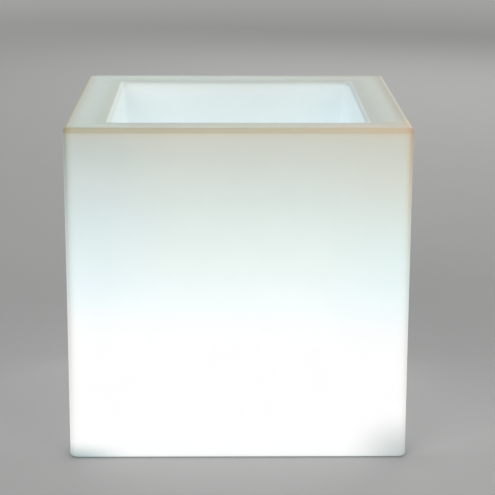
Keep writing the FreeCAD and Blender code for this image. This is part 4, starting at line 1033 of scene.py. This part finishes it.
@dataclass
class ReturnSpring:
    """The button's spring; the real one shortens under the button, this one keeps the node's shape. Its seat is in the
    lamp body.
    """

    seat: Place = (2.0, -40.0, 14.2)
    free_length: float = 3.2
    travel: float = 1.2

    def build(self) -> bpy.types.Object:
        """Makes the spring with the node's own coils and finish, in a mesh of its own.

        Returns:
            The spring.
        """
        node = frame["nodes"]["button_spring"]
        spring = bpy.data.objects.new("return_spring", node.data.copy())
        bpy.context.scene.collection.objects.link(spring)
        spring.matrix_world = node.matrix_world.copy()
        for place, worn in enumerate(node.material_slots):
            spring.material_slots[place].material = worn.material
        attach(spring, "cube")
        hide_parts("button_spring")
        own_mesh(spring)
        return spring


# ---- Studio ------------------------------------------------------------------------------------
@dataclass
class SoftBox:
    """One plain soft light."""

    name: str
    place: Place
    watts: float
    side: float = 2.4

    def build(self, target: Vector) -> None:
        """Hangs the light.

        Args:
            target: the point that it faces.
        """
        lamp = bpy.data.lights.new(self.name, "AREA")
        lamp.shape = "SQUARE"
        lamp.size = self.side
        lamp.energy = self.watts
        holder = bpy.data.objects.new(self.name, lamp)
        holder.location = self.place
        holder.rotation_euler = (target - holder.location).to_track_quat("-Z", "Y").to_euler()
        bpy.context.scene.collection.objects.link(holder)


@dataclass
class Studio:
    """Pale floor, plain soft light and the camera."""

    floor_side: float = 60.0
    floor_colour: Colour = (0.50, 0.50, 0.495)
    floor_shadow: float = 0.985
    haze_start: float = 1800.0
    haze_end: float = 6500.0
    backdrop: Colour = (0.42, 0.42, 0.415)
    sky: float = 0.34
    target: Place = (0.0, 0.0, 0.2)
    camera_place: Place = (-16.7, -2084.0, 745.5)
    yaw: float = 0.83
    pitch: float = 14.46
    roll: float = 0.18
    focal_pixels: float = 1686.0
    frame_pixels: float = 495.0
    sensor: float = 36.0

    def build(self) -> None:
        """Makes floor, world, lights and camera."""
        self._floor()
        self._world()
        for box in (SoftBox("key", (-1.7, -2.8, 1.9), 46.0), SoftBox("fill", (2.2, -2.4, 1.6), 30.0),
                    SoftBox("rear", (0.6, 2.8, 1.8), 26.0)):
            box.build(Vector(self.target))
        self._camera()
        bpy.context.scene.view_settings.view_transform = "Standard"

    def _floor(self) -> None:
        """The pale floor, which runs into the backdrop far away."""
        net = Net(bpy.data.materials.new("floor_paint"))
        x, y, _ = net.place()
        far = ((x ** 2 + y ** 2) ** 0.5).rise(self.haze_start, self.haze_end)
        haze = net.add("ShaderNodeEmission", {}, {"Color": self.backdrop})
        # Darker patches at random in the floor's own tone
        worn = tuple(self.floor_shadow * c for c in self.floor_colour)
        paint = net.surface({
            "Base Color": net.mix(net.noise(220.0, 3.0), self.floor_colour, worn),
            "Roughness": 0.75 + net.noise(60.0, 2.0) * 0.1, "Specular IOR Level": 0.25})
        material = net.end(net.between(far * net.seen(), paint, haze))
        half = self.floor_side / 2
        mesh = bmesh.new()
        corners = [mesh.verts.new((sx * half, sy * half, 0.0)) for sx, sy in ((-1, -1), (1, -1), (1, 1), (-1, 1))]
        mesh.faces.new(corners)
        data = bpy.data.meshes.new("floor")
        mesh.to_mesh(data)
        mesh.free()
        data.materials.append(material)
        floor = bpy.data.objects.new("floor", data)
        bpy.context.scene.collection.objects.link(floor)

    def _world(self) -> None:
        """Even light from all round, over a pale backdrop that the camera and the gloss see."""
        world = bpy.data.worlds.new("studio")
        bpy.context.scene.world = world
        net = Net(world)
        light = net.add("ShaderNodeBackground", {}, {"Color": WHITE, "Strength": self.sky})
        backdrop = net.add("ShaderNodeBackground", {}, {"Color": self.backdrop, "Strength": 1.0})
        net.end(net.between(net.seen(), light, backdrop))

    def _camera(self) -> None:
        """The camera at the angle of the photograph."""
        yaw, pitch, roll = (math.radians(a) for a in (self.yaw, self.pitch, self.roll))
        ahead = Vector((math.sin(yaw) * math.cos(pitch), math.cos(yaw) * math.cos(pitch), -math.sin(pitch)))
        right = Vector((math.cos(yaw), -math.sin(yaw), 0.0))
        above = right.cross(ahead)
        right_rolled = right * math.cos(roll) + above * math.sin(roll)
        above_rolled = above * math.cos(roll) - right * math.sin(roll)
        data = bpy.data.cameras.new("camera")
        data.sensor_width = self.sensor
        data.lens = self.focal_pixels / self.frame_pixels * self.sensor
        data.clip_start, data.clip_end = 0.05, 100.0
        camera = bpy.data.objects.new("camera", data)
        turn = Matrix((right_rolled, above_rolled, -ahead)).transposed().to_4x4()
        camera.matrix_world = Matrix.Translation(Vector(self.camera_place) * MM) @ turn
        bpy.context.scene.collection.objects.link(camera)
        bpy.context.scene.camera = camera


def main() -> None:
    """Builds the dressed part and its studio."""
    logging.basicConfig(level=logging.INFO, format="%(name)s %(message)s")
    CubeShell().build()
    log.info("%d finishes on the lamp", Lamp(FINISHES).dress())
    log.info("%s shortens with the button", ReturnSpring().build().name)
    Studio().build()


if __name__ == "__main__":
    main()
